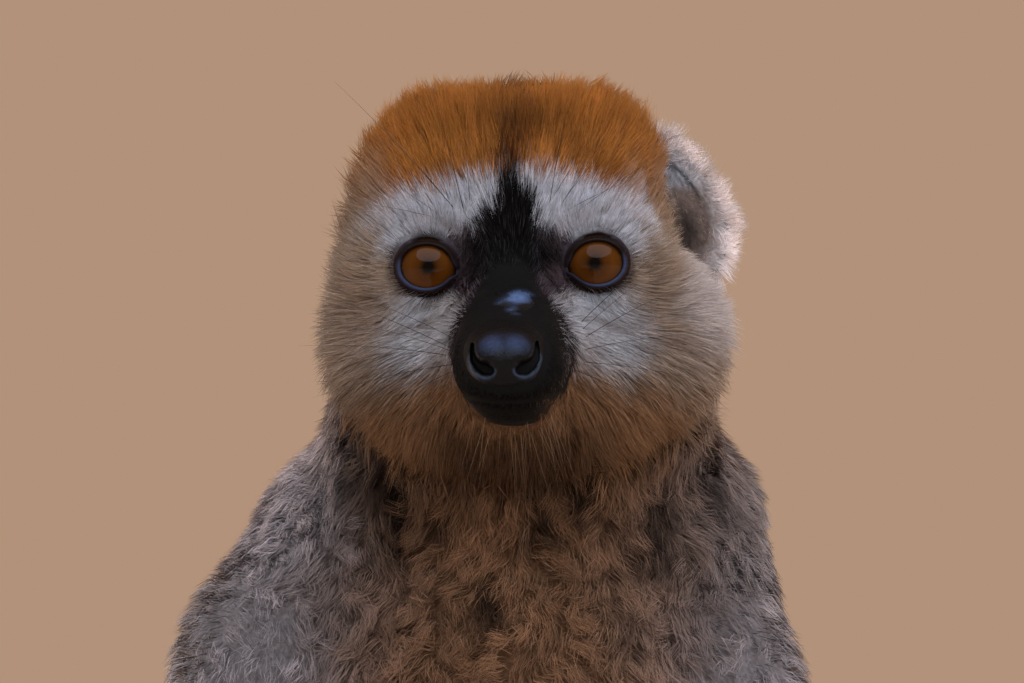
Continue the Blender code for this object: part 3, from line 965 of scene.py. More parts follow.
def sided_faces(side, rows, columns):
    """Triangles of a ring-shaped sheet on this side of the head, all facing outward."""
    faces = grid_faces(rows, columns)
    return faces[:, ::-1] if side == "left" else faces


# An ear: a leaf-shaped bowl with a thick rim, open to the front and the outside.
EAR_TURN = {"left": math.radians(56), "right": math.radians(86)}
EAR_INWARD = {"left": 0.8, "right": -1.0}  # from the middle of the CAD ear towards the head
EAR_RINGS, EAR_STEPS = 12, 56
EAR_WALL = 0.4
EAR_LEAN = 5.2  # how far the top leans in towards the head
EAR_FRINGE = 4.8  # the length of the hair on the rim
EAR_WIDTH = 0.66  # as a share of its height
EAR_DEPTH = 4.2
EAR_SPREAD = np.linspace(0.04, 1, EAR_RINGS).tolist()
# From the bowl's middle out to the rim and back behind it: the share of the leaf, and the wall's side.
EAR_PROFILE = [(share, -EAR_WALL) for share in EAR_SPREAD] + [(1.02, 0.0)]
EAR_PROFILE += [(share, EAR_WALL) for share in EAR_SPREAD[::-1]]


def ear_look(a, b, s, inside):
    """The coat, colours and share of fur of an ear, from the places on its leaf, with painted shade in the
    hollow, under the rim's fringe and across the folds.
    """
    front = fade(a, -0.8, -0.25)
    top = smooth(b, 0.5, 1.0)
    back_edge = smooth(a + 0.5 * b, -0.3, 0.3)
    fringe = smooth(s, 0.66, 0.88) * back_edge
    hollow = 0.8 * spot(a, b, (-0.15, -0.3), (0.55, 0.36), 0.3, 1.5) * inside
    shade = peak(s, 0.66, 0.06) * back_edge * smooth(b, 0.0, 0.3) * inside
    # painted shade across the folds inside the ear
    fold_shade = 0.72 + 0.4 * np.sin(40 * b + 5 * a) * smooth(b, 0.15, 0.4) * fade(b, 0.75, 0.9)
    colour = layered(
        np.where(inside[:, None], EAR_INSIDE * fold_shade[:, None], EAR_GREY),
        (EAR_GREY * 1.15, smooth(b, 0.7, 0.95)),
        (EAR_BROWN, inside * fade(b, 0.2, 0.45)),
        (EAR_HOLLOW_SHADE, np.maximum(hollow, 0.8 * shade)),
        (TEMPLE * 0.8, front * 0.9),
        (EAR_WHITE * (1 - 0.25 * top[:, None]), fringe * 0.95),
    )
    length = 2.2 + (EAR_FRINGE - 1.2) * np.maximum(fringe, 0.3 * top * inside)
    length = length + 1.2 * front * inside + 1.6 * top * fringe
    angle = 22 + 12 * fringe * inside - 6 * fringe
    coat = np.stack((np.full(len(s), 0.4), length, np.full(len(s), 0.10), angle), axis=1)
    return coat, colour, np.where(inside, 0.7 + 1.4 * fringe - 0.35 * hollow, 0.9 + fringe)


def make_ear(side):
    """The ear's inner and outer side, and the rim between them."""
    low, high = (np.array(corner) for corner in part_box("ear_" + side))
    sign = 1 if side == "left" else -1
    height = (high[2] - low[2]) / MM / 2 - EAR_FRINGE + 1.6
    width = height * EAR_WIDTH
    centre = to_head((low + high) / 2) + (-sign * EAR_INWARD[side], 0, 0.8)
    cos, sin = math.cos(EAR_TURN[side]), math.sin(EAR_TURN[side])
    out, back, up = np.array(((sign * cos, sin, 0), (-sign * sin, cos, 0), (0, 0, 1)))
    s, wall = (np.repeat(column, EAR_STEPS) for column in zip(*EAR_PROFILE))
    angle = np.tile(np.linspace(0, 2 * math.pi, EAR_STEPS, endpoint=False), len(EAR_PROFILE))
    leaf = 1 + 0.07 * np.cos(angle) - 0.10 * np.sin(angle) * np.cos(angle)
    leaf = leaf + 0.16 * smooth(-np.sin(angle), 0.1, 0.8) * (np.cos(angle) > 0)
    a, b = np.cos(angle) * s * leaf, np.sin(angle) * s  # outward and up on the leaf, from -1 to 1
    folds = 0.25 * np.sin(3 * angle) * s * s
    folds = folds + 0.22 * np.sin(9 * b + 2 * a) * smooth(b, -0.1, 0.3) * (1 - s * s)
    bowl = EAR_DEPTH * (np.sqrt(1 - 0.92 * np.minimum(s, 1) ** 2) - 0.28) + wall + folds
    points = centre + np.outer(a * width, out) + np.outer(b * height, up) + np.outer(bowl, back)
    points[:, 0] -= sign * 3 * np.maximum(-0.35 - a, 0)
    points[:, 0] -= sign * (EAR_LEAN * np.maximum(b + 0.25, 0) ** 1.4 - 0.3 * np.maximum(-0.35 - b, 0))
    points[:, 2] -= 1.5 * np.maximum(-b, 0)
    inside = wall < 0
    lie = np.outer(a + 0.4 + fade(a, -0.8, -0.25) * inside, out)
    lie = lie + np.outer(b * np.where(inside, 0.35, 0.7) + 0.2, up) + (0, 0.25, 0)
    coat, colour, fur = ear_look(a, b, s, inside)
    return {
        "points": from_head(points),
        "faces": sided_faces(side, len(EAR_PROFILE), EAR_STEPS),
        "coat": coat,
        "lie": unit(lie) @ HEAD_AXES,
        "colour": colour,
        "group": np.full(len(s), GROUPS.index("ears")),
        "fur": fur,
    }


def join_sheets(sheets):
    """One sheet from several. Their points aren't merged."""
    joined = {key: np.concatenate([sheet[key] for sheet in sheets]) for key in sheets[0] if key != "faces"}
    starts = np.cumsum([0] + [len(sheet["points"]) for sheet in sheets[:-1]])
    joined["faces"] = np.concatenate([sheet["faces"] + start for sheet, start in zip(sheets, starts)])
    joined["sheet"] = np.repeat(np.arange(len(sheets)), [len(sheet["faces"]) for sheet in sheets])
    return joined


# ---------------------------------------------------------------- materials


def new_material(name, colour, roughness, specular=0.4, coat=0.0):
    """A material, its node tree and its shader."""
    material = bpy.data.materials.new(name)
    material.use_nodes = True
    shader = material.node_tree.nodes["Principled BSDF"]
    if colour is not None:
        shader.inputs["Base Color"].default_value = (*colour, 1)
    shader.inputs["Roughness"].default_value = roughness
    shader.inputs["Specular IOR Level"].default_value = specular
    shader.inputs["Coat Weight"].default_value = coat
    shader.inputs["Coat Roughness"].default_value = 0.03
    return material, material.node_tree, shader


def add_node(tree, kind, inputs=(), **settings):
    """A node with its settings. Each input is given a value, or the socket that feeds it."""
    node = tree.nodes.new("ShaderNode" + kind)
    for name, value in settings.items():
        setattr(node, name, value)
    for name, value in dict(inputs).items():
        if isinstance(value, bpy.types.NodeSocket):
            tree.links.new(value, node.inputs[name])
        else:
            node.inputs[name].default_value = value
    return node


GRAIN_SCALE = 900
RELIEF = 0.0004  # the height of a material's bumps


def tinted(name, roughness, specular, grain, darker=1.0, bump=0.0, bump_scale=1500):
    """A material that reads the Tint of each point, varied by a fine grain."""
    material, tree, shader = new_material(name, None, roughness, specular)
    tint = add_node(tree, "Attribute", attribute_name="Tint")
    place = add_node(tree, "TexCoord").outputs["Object"]
    noise = add_node(tree, "TexNoise", {"Vector": place, "Scale": GRAIN_SCALE, "Detail": 2})
    low, high = darker * (1 - grain), darker * (1 + grain)
    levels = {"From Min": 0.3, "From Max": 0.7, "To Min": low, "To Max": high}
    level = add_node(tree, "MapRange", {"Value": noise.outputs["Fac"], **levels}).outputs["Result"]
    scaled = add_node(tree, "VectorMath", {0: tint.outputs["Color"], "Scale": level}, operation="SCALE")
    tree.links.new(scaled.outputs["Vector"], shader.inputs["Base Color"])
    if bump:
        fine = add_node(tree, "TexNoise", {"Vector": place, "Scale": bump_scale}).outputs["Fac"]
        relief = add_node(tree, "Bump", {"Height": fine, "Strength": bump, "Distance": RELIEF})
        tree.links.new(relief.outputs["Normal"], shader.inputs["Normal"])
    return material


# ---------------------------------------------------------------- the skin as an object


def make_skin_object(sheet):
    """One piece for all the animal's skin, with a map of it for the tufts to share."""
    obj = new_object("skin", mesh_from("skin", sheet["points"], sheet["faces"]))
    in_shade = np.where(sheet["group"] == GROUPS.index("ears"), 0.8, 1.0)
    set_colour(obj.data, sheet["colour"] * in_shade[:, None])
    # painted shade: the skin under the coat is darker
    obj.data.materials.append(tinted("skin_under_coat", 0.8, 0.15, 0.25, darker=0.6, bump=0.5))
    obj.data.materials.append(tinted("skin_bare", 0.45, 0.1, 0.12, bump=0.35))
    obj.data.materials.append(tinted("skin_shiny", 0.42, 0.25, 0.2, bump=0.6, bump_scale=1100))
    centres = sheet["points"][sheet["faces"]].mean(axis=1)
    shiny = (bare_bridge(to_head(centres)) > 0.12) & (sheet["group"][sheet["faces"][:, 0]] == 0)
    lids = np.isin(sheet["sheet"], (1, 2))  # the sheet's order is skin, lids, ears
    bare = lids | (digit_share(centres) > 0.5)
    index = np.where(bare, 1, np.where(shiny, 2, 0))
    obj.data.polygons.foreach_set("material_index", index.astype(np.int32))
    obj.data.uv_layers.new(name="OFBake")
    bpy.context.view_layer.objects.active = obj
    obj.select_set(True)
    bpy.ops.object.mode_set(mode="EDIT")
    bpy.ops.mesh.select_all(action="SELECT")
    bpy.ops.uv.smart_project(angle_limit=1.15, island_margin=0.002)
    bpy.ops.object.mode_set(mode="OBJECT")
    obj.select_set(False)
    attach(obj, "root")
    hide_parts(*FLESH, *("ear_" + side for side in SIDES))
    return obj


sheets = [make_skin()]
skin_tree = BVHTree.FromPolygons(sheets[0]["points"].tolist(), sheets[0]["faces"].tolist())
sheets += [make_lids(side, skin_tree) for side in SIDES] + [make_ear(side) for side in SIDES]
skin_sheet = join_sheets(sheets)
skin = make_skin_object(skin_sheet)


# ---------------------------------------------------------------- the coat's tufts

TUFTS = {"head": 180_000, "ears": 24_000, "trunk": 150_000, "arms": 44_000, "legs": 50_000, "tail": 44_000}
MOST_TUFTS = 62_000  # in one piece
ROLL = math.radians(62)  # how far a tuft may turn about its own length
PATCH = 0.0015  # half the width of a tuft's patch in the OFBake map
PAINTED_TIP_SHEEN = np.array((0.034, 0.030, 0.032))  # painted sheen, added to the tips of some tufts, so that black hair shows its strands
MARKING_BLUR = 1.0  # how far a tuft's colour may stray over a marking's edge
SEEN_SHARE = 0.9  # a tuft on the head has the colour of the place that this share of its length covers


def scatter(sheet, group, count):
    """Roots on a group's triangles, closer where tufts are small: the triangles, and each corner's share."""
    faces = sheet["faces"]
    own = np.flatnonzero(sheet["group"][faces[:, 0]] == GROUPS.index(group))
    a, b, c = (sheet["points"][faces[own, i]] for i in range(3))
    area = np.linalg.norm(np.cross(b - a, c - a), axis=1)
    coat = sheet["coat"][faces[own]].mean(axis=1)
    weight = area * sheet["fur"][faces[own]].mean(axis=1) / (coat[:, 1] * coat[:, 2])
    total = np.cumsum(weight)
    picks = (np.arange(count) + rng.random(count)) / count * total[-1]
    triangle = own[np.minimum(np.searchsorted(total, picks), len(own) - 1)]
    u, v = rng.random((2, count))
    u, v = np.where(u + v > 1, 1 - u, u), np.where(u + v > 1, 1 - v, v)
    return triangle, np.stack((1 - u - v, u, v), axis=1)


def across(vectors, normals):
    """The part of each vector that lies along the surface."""
    return unit(vectors - normals * (vectors * normals).sum(axis=1, keepdims=True))


def turned(vectors, axes, angles):
    """Vectors turned about axes that they are square to."""
    return vectors * np.cos(angles)[:, None] + np.cross(axes, vectors) * np.sin(angles)[:, None]


def risen(along, normal, angle):
    """Directions that leave the surface at an angle."""
    return along * np.cos(angle)[:, None] + normal * np.sin(angle)[:, None]


CLUMP_MEMBERS = 30
FEWEST_CLUMPS = 8
FLOOR_GAP = 0.3  # no tuft reaches lower over the floor
CORNER_TONES = np.array((0.58, 0.58, 0.94, 0.94, 1.14))  # darker at the root, by painted shade, and lighter at the tip
WOOL_TONES = (-0.22, -0.22, -0.08, -0.08, 0.12)  # how wool changes them: deeper painted shade at the root, a lighter tip


def clump_of(roots):
    """For each tuft, the tuft in the middle of its clump."""
    keep = rng.permutation(len(roots))[: max(FEWEST_CLUMPS, int(len(roots) / CLUMP_MEMBERS))]
    tree = KDTree(len(keep))
    for i, root in zip(keep.tolist(), roots[keep].tolist()):
        tree.insert(root, i)
    tree.balance()
    return np.array([tree.find(root)[1] for root in roots.tolist()])


def per_clump(clump):
    """A random number for each clump, given to its tufts."""
    return rng.normal(0, 1, len(clump))[clump]


def blades(group, root, normal, along, coat, clump, wool, gap):
    """The corners and normals of tufts: five corners for each."""
    count = len(root)
    shaggy = smooth(coat[:, 1], 8, 19) * (0.5 if group == "head" else 1)
    swirl = np.radians(30) * wobble(root / MM, 9, 4) + np.radians(26) * wobble(root / MM, 4.5, 3)
    along = turned(along, normal, wool * swirl)
    sway = per_clump(clump) * np.radians(7 + 20 * shaggy * (1 - wool) + 14 * wool)
    sway = sway + rng.normal(0, 1, count) * np.radians(7 + 7 * shaggy + 20 * wool)
    along = turned(along, normal, sway)
    length = coat[:, 1] * MM * (1 + 0.16 * per_clump(clump) * shaggy) * rng.uniform(0.72, 1.15, count)
    length = length * (1 - 0.35 * gap)
    angle = coat[:, 3] * (1 + 0.3 * per_clump(clump) * shaggy)
    angle = np.radians(angle * rng.uniform(0.75, 1.2, count))
    out, bent = risen(along, normal, angle), risen(along, normal, angle * BEND)
    base = root - normal * ROOT_DEPTH * MM
    elbow = base + out * (length * 0.5)[:, None]
    tip = elbow + bent * (length * 0.5)[:, None]
    pull = (0.22 + 0.5 * shaggy + 0.35 * wool)[:, None]
    tip = tip + (tip[clump] - tip) * pull * 0.85
    elbow = elbow + (elbow[clump] - elbow) * pull * 0.4
    side = unit(np.cross(out, normal))
    wave = (per_clump(clump) * 0.09 + rng.normal(0, 0.08, count)) * length
    wave = wave * (shaggy * (0.4 if group == "tail" else 1) + 0.9 * wool)
    elbow = elbow + side * wave[:, None]
    side = turned(side, out, rng.uniform(-ROLL, ROLL, count))
    half = (coat[:, 2] * MM * rng.uniform(0.35, 0.6, count))[:, None] * side
    points = np.stack((base - half * 0.6, base + half * 0.6, elbow - half, elbow + half, tip), axis=1)
    points[:, :, 2] = np.maximum(points[:, :, 2], FLOOR_GAP * MM)
    front = unit(np.cross(half, out)) * (1 - 0.5 * wool[:, None]) + normal * (0.3 + 0.4 * wool[:, None])
    tilt = unit(half) * 0.3
    facing = np.stack((front - tilt, front + tilt, front - tilt, front + tilt, front), axis=1)
    return points, unit(facing)


def tuft_shades(group, root, colour, clump, wool):
    """The colours of the tufts' corners, with painted shade at the root and painted sheen on some tips."""
    spread = 0.10 if group == "head" else 0.13
    light = rng.normal(1, spread, len(root)) * (1 + spread * per_clump(clump))
    light = light * (1 + 0.22 * wool * wobble(root / MM, 5, 0))
    tone = CORNER_TONES + wool[:, None] * WOOL_TONES
    shade = colour[:, None, :] * (tone * np.clip(light, 0.5, 1.6)[:, None])[:, :, None]
    shade[:, 2:] += ((rng.random(len(root)) ** 6)[:, None] * PAINTED_TIP_SHEEN)[:, None]
    return shade


def tufts(sheet, normals, uv, group):
    """The corners, normals, colours and map places of a group's tufts: five corners for each."""
    triangle, share = scatter(sheet, group, TUFTS[group])
    corners = sheet["faces"][triangle]

    def at_root(values):
        return (values * share[:, :, None]).sum(axis=1)

    root, normal = at_root(sheet["points"][corners]), unit(at_root(normals[corners]))
    coat, lie, colour = (at_root(sheet[key][corners]) for key in ("coat", "lie", "colour"))
    clump = clump_of(root)
    along = across(lie, normal)
    if group == "head":
        seen_at = to_head(root + along * coat[:, 1:2] * MM * SEEN_SHARE)
        colour = head_colour(seen_at + rng.normal(0, MARKING_BLUR, seen_at.shape))
    wool = np.zeros(len(root)) if group == "head" else wool_share(root)
    gap = gap_share(root + along * coat[:, 1:2] * MM * 0.7) * (wool > 0)
    points, facing = blades(group, root, normal, along, coat, clump, wool, gap)
    # painted shade in the gaps between the wool's clumps
    shade = tuft_shades(group, root, colour * (1 - PAINTED_GAP_SHADE * gap[:, None]), clump, wool)
    patch = np.array(((-1, -1), (1, -1), (-1, 0), (1, 0), (0, 1))) * PATCH
    return points, facing, shade, np.clip(at_root(uv[triangle])[:, None, :] + patch, 0, 1)


TUFT_FACES = np.array(((0, 1, 3), (0, 3, 2), (2, 3, 4)))


def hair_material():
    """Hair that lets a little light through."""
    material = tinted("coat_hair", 0.62, 0.05, 0.12)
    hair = material.node_tree.nodes["Principled BSDF"]
    hair.subsurface_method = "BURLEY"
    hair.inputs["Subsurface Weight"].default_value = 0.5
    hair.inputs["Subsurface Radius"].default_value = (1.0, 0.85, 0.75)
    hair.inputs["Subsurface Scale"].default_value = 0.002
    return material


def make_coat(sheet):
    """The tufts of each group, in pieces small enough for the export."""
    mesh = skin.data
    uv = np.empty(len(mesh.loops) * 2, dtype=np.float32)
    mesh.uv_layers["OFBake"].data.foreach_get("uv", uv)
    uv = uv.reshape(-1, 3, 2)
    normals = normals_of(mesh)
    material = hair_material()
    for group in TUFTS:
        parts = tufts(sheet, normals, uv, group)
        pieces = -(-TUFTS[group] // MOST_TUFTS)
        for i in range(pieces):
            points, facing, shade, patch = (part[i::pieces] for part in parts)
            faces = (np.arange(len(points))[:, None, None] * 5 + TUFT_FACES).reshape(-1, 3)
            name = f"coat_{group}_{i + 1}"
            piece = new_object(name, mesh_from(name, points.reshape(-1, 3), faces))
            piece.data.normals_split_custom_set_from_vertices(facing.reshape(-1, 3).tolist())
            set_colour(piece.data, shade.reshape(-1, 3))
            piece.data.materials.append(material)
            layer = piece.data.uv_layers.new(name="OFBake")
            layer.data.foreach_set("uv", patch.reshape(-1, 2)[faces.ravel()].astype(np.float32).ravel())
            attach(piece, "root")


make_coat(skin_sheet)


# ---------------------------------------------------------------- eyes

GAZE_IN = math.radians(3.5)  # each eye turns this much towards the nose
IRIS_RADIUS = 6.0
PUPIL_RADIUS = 1.02
PUPIL = PUPIL_RADIUS / IRIS_RADIUS
CORNEA = 0.45  # how far it bulges
RAYS_ROUND, RAYS_OUT = 9.0, 260.0  # how fine the iris's rays are, round it and outward
# The iris from its middle outward: the share of its radius, and the colour there.
IRIS_STOPS = [
    (0.0, srgb(3, 2, 3)), (PUPIL - 0.02, srgb(3, 2, 3)), (PUPIL + 0.03, srgb(28, 13, 3)),
    (0.32, srgb(58, 29, 5)), (0.6, srgb(74, 39, 7)), (0.8, srgb(64, 34, 7)), (0.89, srgb(34, 19, 6)),
    (0.96, srgb(14, 10, 9)), (1.0, srgb(34, 30, 34)),
]


def eye_material():
    """Amber iris with fine rays and a dark edge round a black pupil, under a wet clear coat."""
    material, tree, shader = new_material("eyeball", None, 0.5, 0.0, coat=0.25)

    def maths(operation, *values):
        return add_node(tree, "Math", enumerate(values), operation=operation).outputs[0]

    place = add_node(tree, "TexCoord").outputs["Object"]
    apart = add_node(tree, "SeparateXYZ", {"Vector": place})
    x, z = apart.outputs["X"], apart.outputs["Z"]
    radius = maths("SQRT", maths("ADD", maths("POWER", x, 2.0), maths("POWER", z, 2.0)))
    angle = maths("ARCTAN2", z, x)
    spokes = add_node(tree, "CombineXYZ", {
        "X": maths("MULTIPLY", maths("SINE", angle), RAYS_ROUND),
        "Y": maths("MULTIPLY", maths("COSINE", angle), RAYS_ROUND),
        "Z": maths("MULTIPLY", radius, RAYS_OUT),
    })
    rays = add_node(tree, "TexNoise", {"Vector": spokes.outputs["Vector"], "Scale": 1.0, "Detail": 3})
    share = maths("DIVIDE", radius, IRIS_RADIUS * MM)
    shifted = maths("ADD", share, maths("MULTIPLY", maths("SUBTRACT", rays.outputs["Fac"], 0.5), 0.16))
    core = maths("LESS_THAN", share, PUPIL)  # the rays don't reach into the pupil
    outside = maths("MULTIPLY", shifted, maths("SUBTRACT", 1.0, core))
    ramp = add_node(tree, "ValToRGB", {"Fac": maths("ADD", outside, maths("MULTIPLY", share, core))})
    elements = ramp.color_ramp.elements
    for position, _ in IRIS_STOPS[1:-1]:
        elements.new(position)
    for element, (_, colour) in zip(elements, IRIS_STOPS):
        element.color = (*colour, 1)
    tree.links.new(ramp.outputs["Color"], shader.inputs["Base Color"])
    return material


def make_eye(side, material):
    """An eyeball with a cornea that bulges a little over the iris."""
    sign = 1 if side == "left" else -1
    mesh = bpy.data.meshes.new("eyeball_" + side)
    bm = bmesh.new()
    bmesh.ops.create_uvsphere(bm, u_segments=64, v_segments=48, radius=EYE_RADIUS * MM)
    bmesh.ops.rotate(bm, verts=bm.verts, matrix=Matrix.Rotation(math.pi / 2, 3, "X"))
    for v in bm.verts:
        spread = math.hypot(v.co.x, v.co.z) / (IRIS_RADIUS * MM)
        if v.co.y < 0 and spread < 1:
            v.co.y -= CORNEA * MM * (1 - spread * spread) ** 2
    bm.to_mesh(mesh)
    bm.free()
    mesh.shade_smooth()
    mesh.materials.append(material)
    eye = new_object("eyeball_" + side, mesh)
    axes = Matrix(HEAD_AXES.T.tolist()).to_4x4()
    eye.matrix_world = Matrix.Translation(EYES[side]) @ axes @ Matrix.Rotation(-sign * GAZE_IN, 4, "Z")
    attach(eye, "root")
    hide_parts("eye_" + side)


# ---------------------------------------------------------------- the nose

NOSE_RINGS, NOSE_STEPS = 64, 180
BEFORE_NOSE = -60  # before the nose and all the face
NOSTRIL = [(6.3, -15.7), (6.35, -17.2), (6.0, -18.8), (5.0, -20.0), (3.9, -20.5), (3.1, -20.9)]  # outward, up
NOSTRIL_WIDTH = (0.25, 0.4, 0.7, 1.05, 1.2, 0.8)


def nostril_distance(x, z):
    """The distance to the nostril's middle line as a share of its width there."""
    best = np.full(len(x), np.inf)
    for i in range(len(NOSTRIL) - 1):
        a, b = np.array(NOSTRIL[i]), np.array(NOSTRIL[i + 1])
        p = np.stack((np.abs(x), z), axis=1) - a
        t = np.clip(p @ (b - a) / ((b - a) @ (b - a)), 0, 1)
        width = mix(NOSTRIL_WIDTH[i], NOSTRIL_WIDTH[i + 1], t)
        best = np.minimum(best, np.linalg.norm(p - t[:, None] * (b - a), axis=1) / width)
    return best


# The nose's outline from the side: height above the eyes, and how far in front of them it reaches.
NOSE_PROFILE = [
    (-27, 35.0), (-25, 36.8), (-23, 38.3), (-21.5, 39.3), (-20, 40.1), (-19, 40.3), (-18, 40.1), (-17, 39.7),
    (-16, 39.1), (-15, 38.2), (-14, 36.6), (-13, 34.2), (-12, 31.4), (-10.5, 27.0),
]


NOSE_LEATHER = srgb(8, 6, 8)
# painted highlights and shade of the nose: bluish gleams of light, and shade inside the nostrils
PAINTED_NOSE_GLEAM = srgb(41, 51, 77)
PAINTED_RIM_GLEAM = srgb(58, 70, 92)
NOSTRIL_SHADE = srgb(3, 3, 3)


def nose_colour(x, z, hole, rim):
    """Black leather with a painted blue gleam on the upper pads, a painted highlight on the nostrils' rims,
    and painted shade in the nostrils.
    """
    gleam = fade(-z, 15.2, 18.6) * fade(z, -15.8, -12.8) * peak(np.abs(x), 2.2, 2.6)
    return layered(
        np.tile(NOSE_LEATHER, (len(x), 1)),
        (PAINTED_NOSE_GLEAM, gleam),
        (MUZZLE, smooth(np.hypot(x / 6.6, (z + 18.2) / 5.6), 0.8, 1.0)),
        (PAINTED_RIM_GLEAM, rim * 0.5),
        (NOSTRIL_SHADE, smooth(hole, 0.2, 0.6)),
    )


def nose_shape(x, z, muzzle):
    """How far forward the nose reaches, how deep in a nostril a point is, and on its rim, both 0 to 1."""
    side = np.abs(x)
    front = np.interp(z, *zip(*NOSE_PROFILE)) - 0.035 * x**2 - 0.6 * np.maximum(side - 5, 0) ** 1.8
    share = np.clip(0.5 + (front - muzzle) / 2, 0, 1)
    front = muzzle * (1 - share) + front * share + share * (1 - share)
    pads = peak(side, 3.2, 2.6) * peak(z, -16.8, 2.0)
    near = nostril_distance(x, z)
    hole = np.exp(-(near**2) * 1.1)
    under = smooth(side * 0.55 - z - 21.2, 0, 0.9)  # outside and below the nostril
    rim = peak(near, 1.65, 0.3) * smooth(-z, 15, 18) * under
    between = peak(x, 0, 0.5) * smooth(-z, 14.5, 17)
    return front + 0.25 * pads + 0.12 * rim - 3.8 * hole - 0.1 * between, hole, rim


def make_nose():
    """The bare nose pad: two soft pads over comma-shaped nostrils, blending into the muzzle."""
    ring, step = np.meshgrid(np.linspace(0.01, 1, NOSE_RINGS), np.arange(NOSE_STEPS), indexing="ij")
    ring, angle = ring.ravel(), step.ravel() * 2 * math.pi / NOSE_STEPS
    x = NOSE_FRAME[0] * ring * np.cos(angle)
    z = NOSE_FRAME[2] + NOSE_FRAME[1] * ring * np.sin(angle)
    starts = from_head(np.stack((x + NOSE_ASIDE, np.full(len(x), BEFORE_NOSE), z), axis=1))
    hits = np.array([skin_tree.ray_cast(Vector(start), HEAD_Y)[0] for start in starts])
    front, hole, rim = nose_shape(x, z, -to_head(hits)[:, 1])
    y = 0.5 * smooth(ring, 0.85, 1) - front
    points = from_head(np.stack((x + NOSE_ASIDE, y, z), axis=1))
    faces = grid_faces(NOSE_RINGS, NOSE_STEPS)
    mesh = mesh_from("nose_pad", points, faces)
    move_points(mesh, relax(points, averaging(mesh), 3, 0.4))
    obj = new_object("nose_pad", mesh)
    set_colour(mesh, nose_colour(x, z, hole, rim))
    mesh.materials.append(tinted("nose_leather", 0.44, 0.13, 0.15, bump=0.5, bump_scale=1600))
    mesh.materials.append(tinted("nose_edge", 0.5, 0.10, 0.15, bump=0.5))
    on_edge = (nostril_distance(x, z) > 2.4) & (np.hypot(x / 7.0, (z + 18.2) / 5.6) > 1)
    mesh.polygons.foreach_set("material_index", on_edge[faces[:, 0]].astype(np.int32))
    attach(obj, "root")
    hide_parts("nose")


# ---------------------------------------------------------------- whiskers

# For each: the root seen from in front (outward to the left, up), the tip from there, and the thickness.
WHISKERS = [
    ((-9.6, 9.4), (-25.0, 28.0), 0.17), ((-9.2, 10.2), (-6.2, 27.2), 0.15),
    ((-11.8, 12.0), (-13.2, 15.8), 0.13), ((-11.0, 7.6), (-13.2, 9.6), 0.12),
    ((-8.0, 11.0), (-0.8, 14.0), 0.11), ((-12.6, 9.0), (-18.0, 4.0), 0.11),
    ((9.4, 11.0), (9.6, 11.6), 0.13), ((7.6, 11.0), (5.2, 24.8), 0.15),
    ((8.6, 9.2), (18.0, 8.0), 0.12), ((8.0, 12.4), (14.0, 20.0), 0.12),
    ((10.4, 8.2), (22.0, 14.0), 0.12), ((9.0, 10.0), (12.0, 17.0), 0.11),
    ((-12.6, -16.2), (-25.6, 11.0), 0.15), ((-12.8, -17.8), (-30.0, 2.6), 0.15),
    ((-12.0, -19.6), (-28.0, -6.0), 0.13), ((-11.6, -14.4), (-20.0, 9.0), 0.12),
    ((-12.4, -21.0), (-22.0, -12.0), 0.12), ((-12.0, -17.0), (-18.0, 5.6), 0.11),
    ((12.8, -12.6), (21.2, 17.6), 0.15), ((13.6, -15.2), (23.8, 11.4), 0.15),
    ((13.4, -17.4), (28.0, 3.0), 0.13), ((12.8, -19.6), (27.0, -5.0), 0.13),
    ((12.0, -21.2), (21.0, -11.0), 0.12), ((13.0, -14.0), (17.0, 13.0), 0.11),
]
CHIN_HAIRS = 26
WHISKER_DARK = srgb(22, 15, 12)
WHISKER_PALE = srgb(150, 122, 98)
WHISKER_STEPS = 14
WHISKER_SIDES = 4


def whisker(x, z, across_face, up, thickness, forward=0.28, sag=0.10):
    """The middle line and radii of a hair that starts on the face and bends back and down towards its tip."""
    start = skin_tree.ray_cast(Vector(from_head((x, BEFORE_NOSE, z))), HEAD_Y)[0]
    reach = math.hypot(across_face, up)
    share = np.linspace(0, 1, WHISKER_STEPS)[:, None]
    bend = np.array((0, 0.3, -1.0)) * reach * sag * share * share
    line = to_head(np.array(start)) + share * (across_face, -forward * reach, up + sag * reach) + bend
    line[:, 1] += forward * 0.8 * reach * share[:, 0] ** 2
    return from_head(line), thickness * MM / 2 * (1 - 0.88 * share[:, 0])


def make_whiskers():
    """The long dark hairs of brows and cheeks, and the fine pale ones under the chin."""
    hairs = [(whisker(*root, *tip, size), WHISKER_DARK) for root, tip, size in WHISKERS]
    for _ in range(CHIN_HAIRS):
        x = rng.uniform(-9, 9)
        z = -32.5 + 0.05 * x * x + rng.uniform(-1.2, 1.2)
        tip = (0.5 * x + rng.normal(0, 1.2), rng.uniform(-15, -6))
        hairs.append((whisker(x, z, *tip, 0.055, 0.12, 0.0), WHISKER_PALE))
    points, faces, colours = [], [], []
    turn = np.arange(WHISKER_SIDES) * 2 * math.pi / WHISKER_SIDES
    for i, ((line, radius), colour) in enumerate(hairs):
        along = unit(np.gradient(line, axis=0))
        side = unit(np.cross(along, HEAD_AXES[1] + 0.01))
        over = np.cross(along, side)
        ring = side[:, None] * np.cos(turn)[:, None] + over[:, None] * np.sin(turn)[:, None]
        points.append((line[:, None] + ring * radius[:, None, None]).reshape(-1, 3))
        faces.append(grid_faces(WHISKER_STEPS, WHISKER_SIDES) + i * WHISKER_STEPS * WHISKER_SIDES)
        colours.append(np.tile(colour, (WHISKER_STEPS * WHISKER_SIDES, 1)))
    mesh = mesh_from("whiskers", np.concatenate(points), np.concatenate(faces))
    set_colour(mesh, np.concatenate(colours))
    mesh.materials.append(tinted("whisker_hair", 0.4, 0.4, 0.0))
    obj = new_object("whiskers", mesh)
    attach(obj, "root")


# ---------------------------------------------------------------- nails

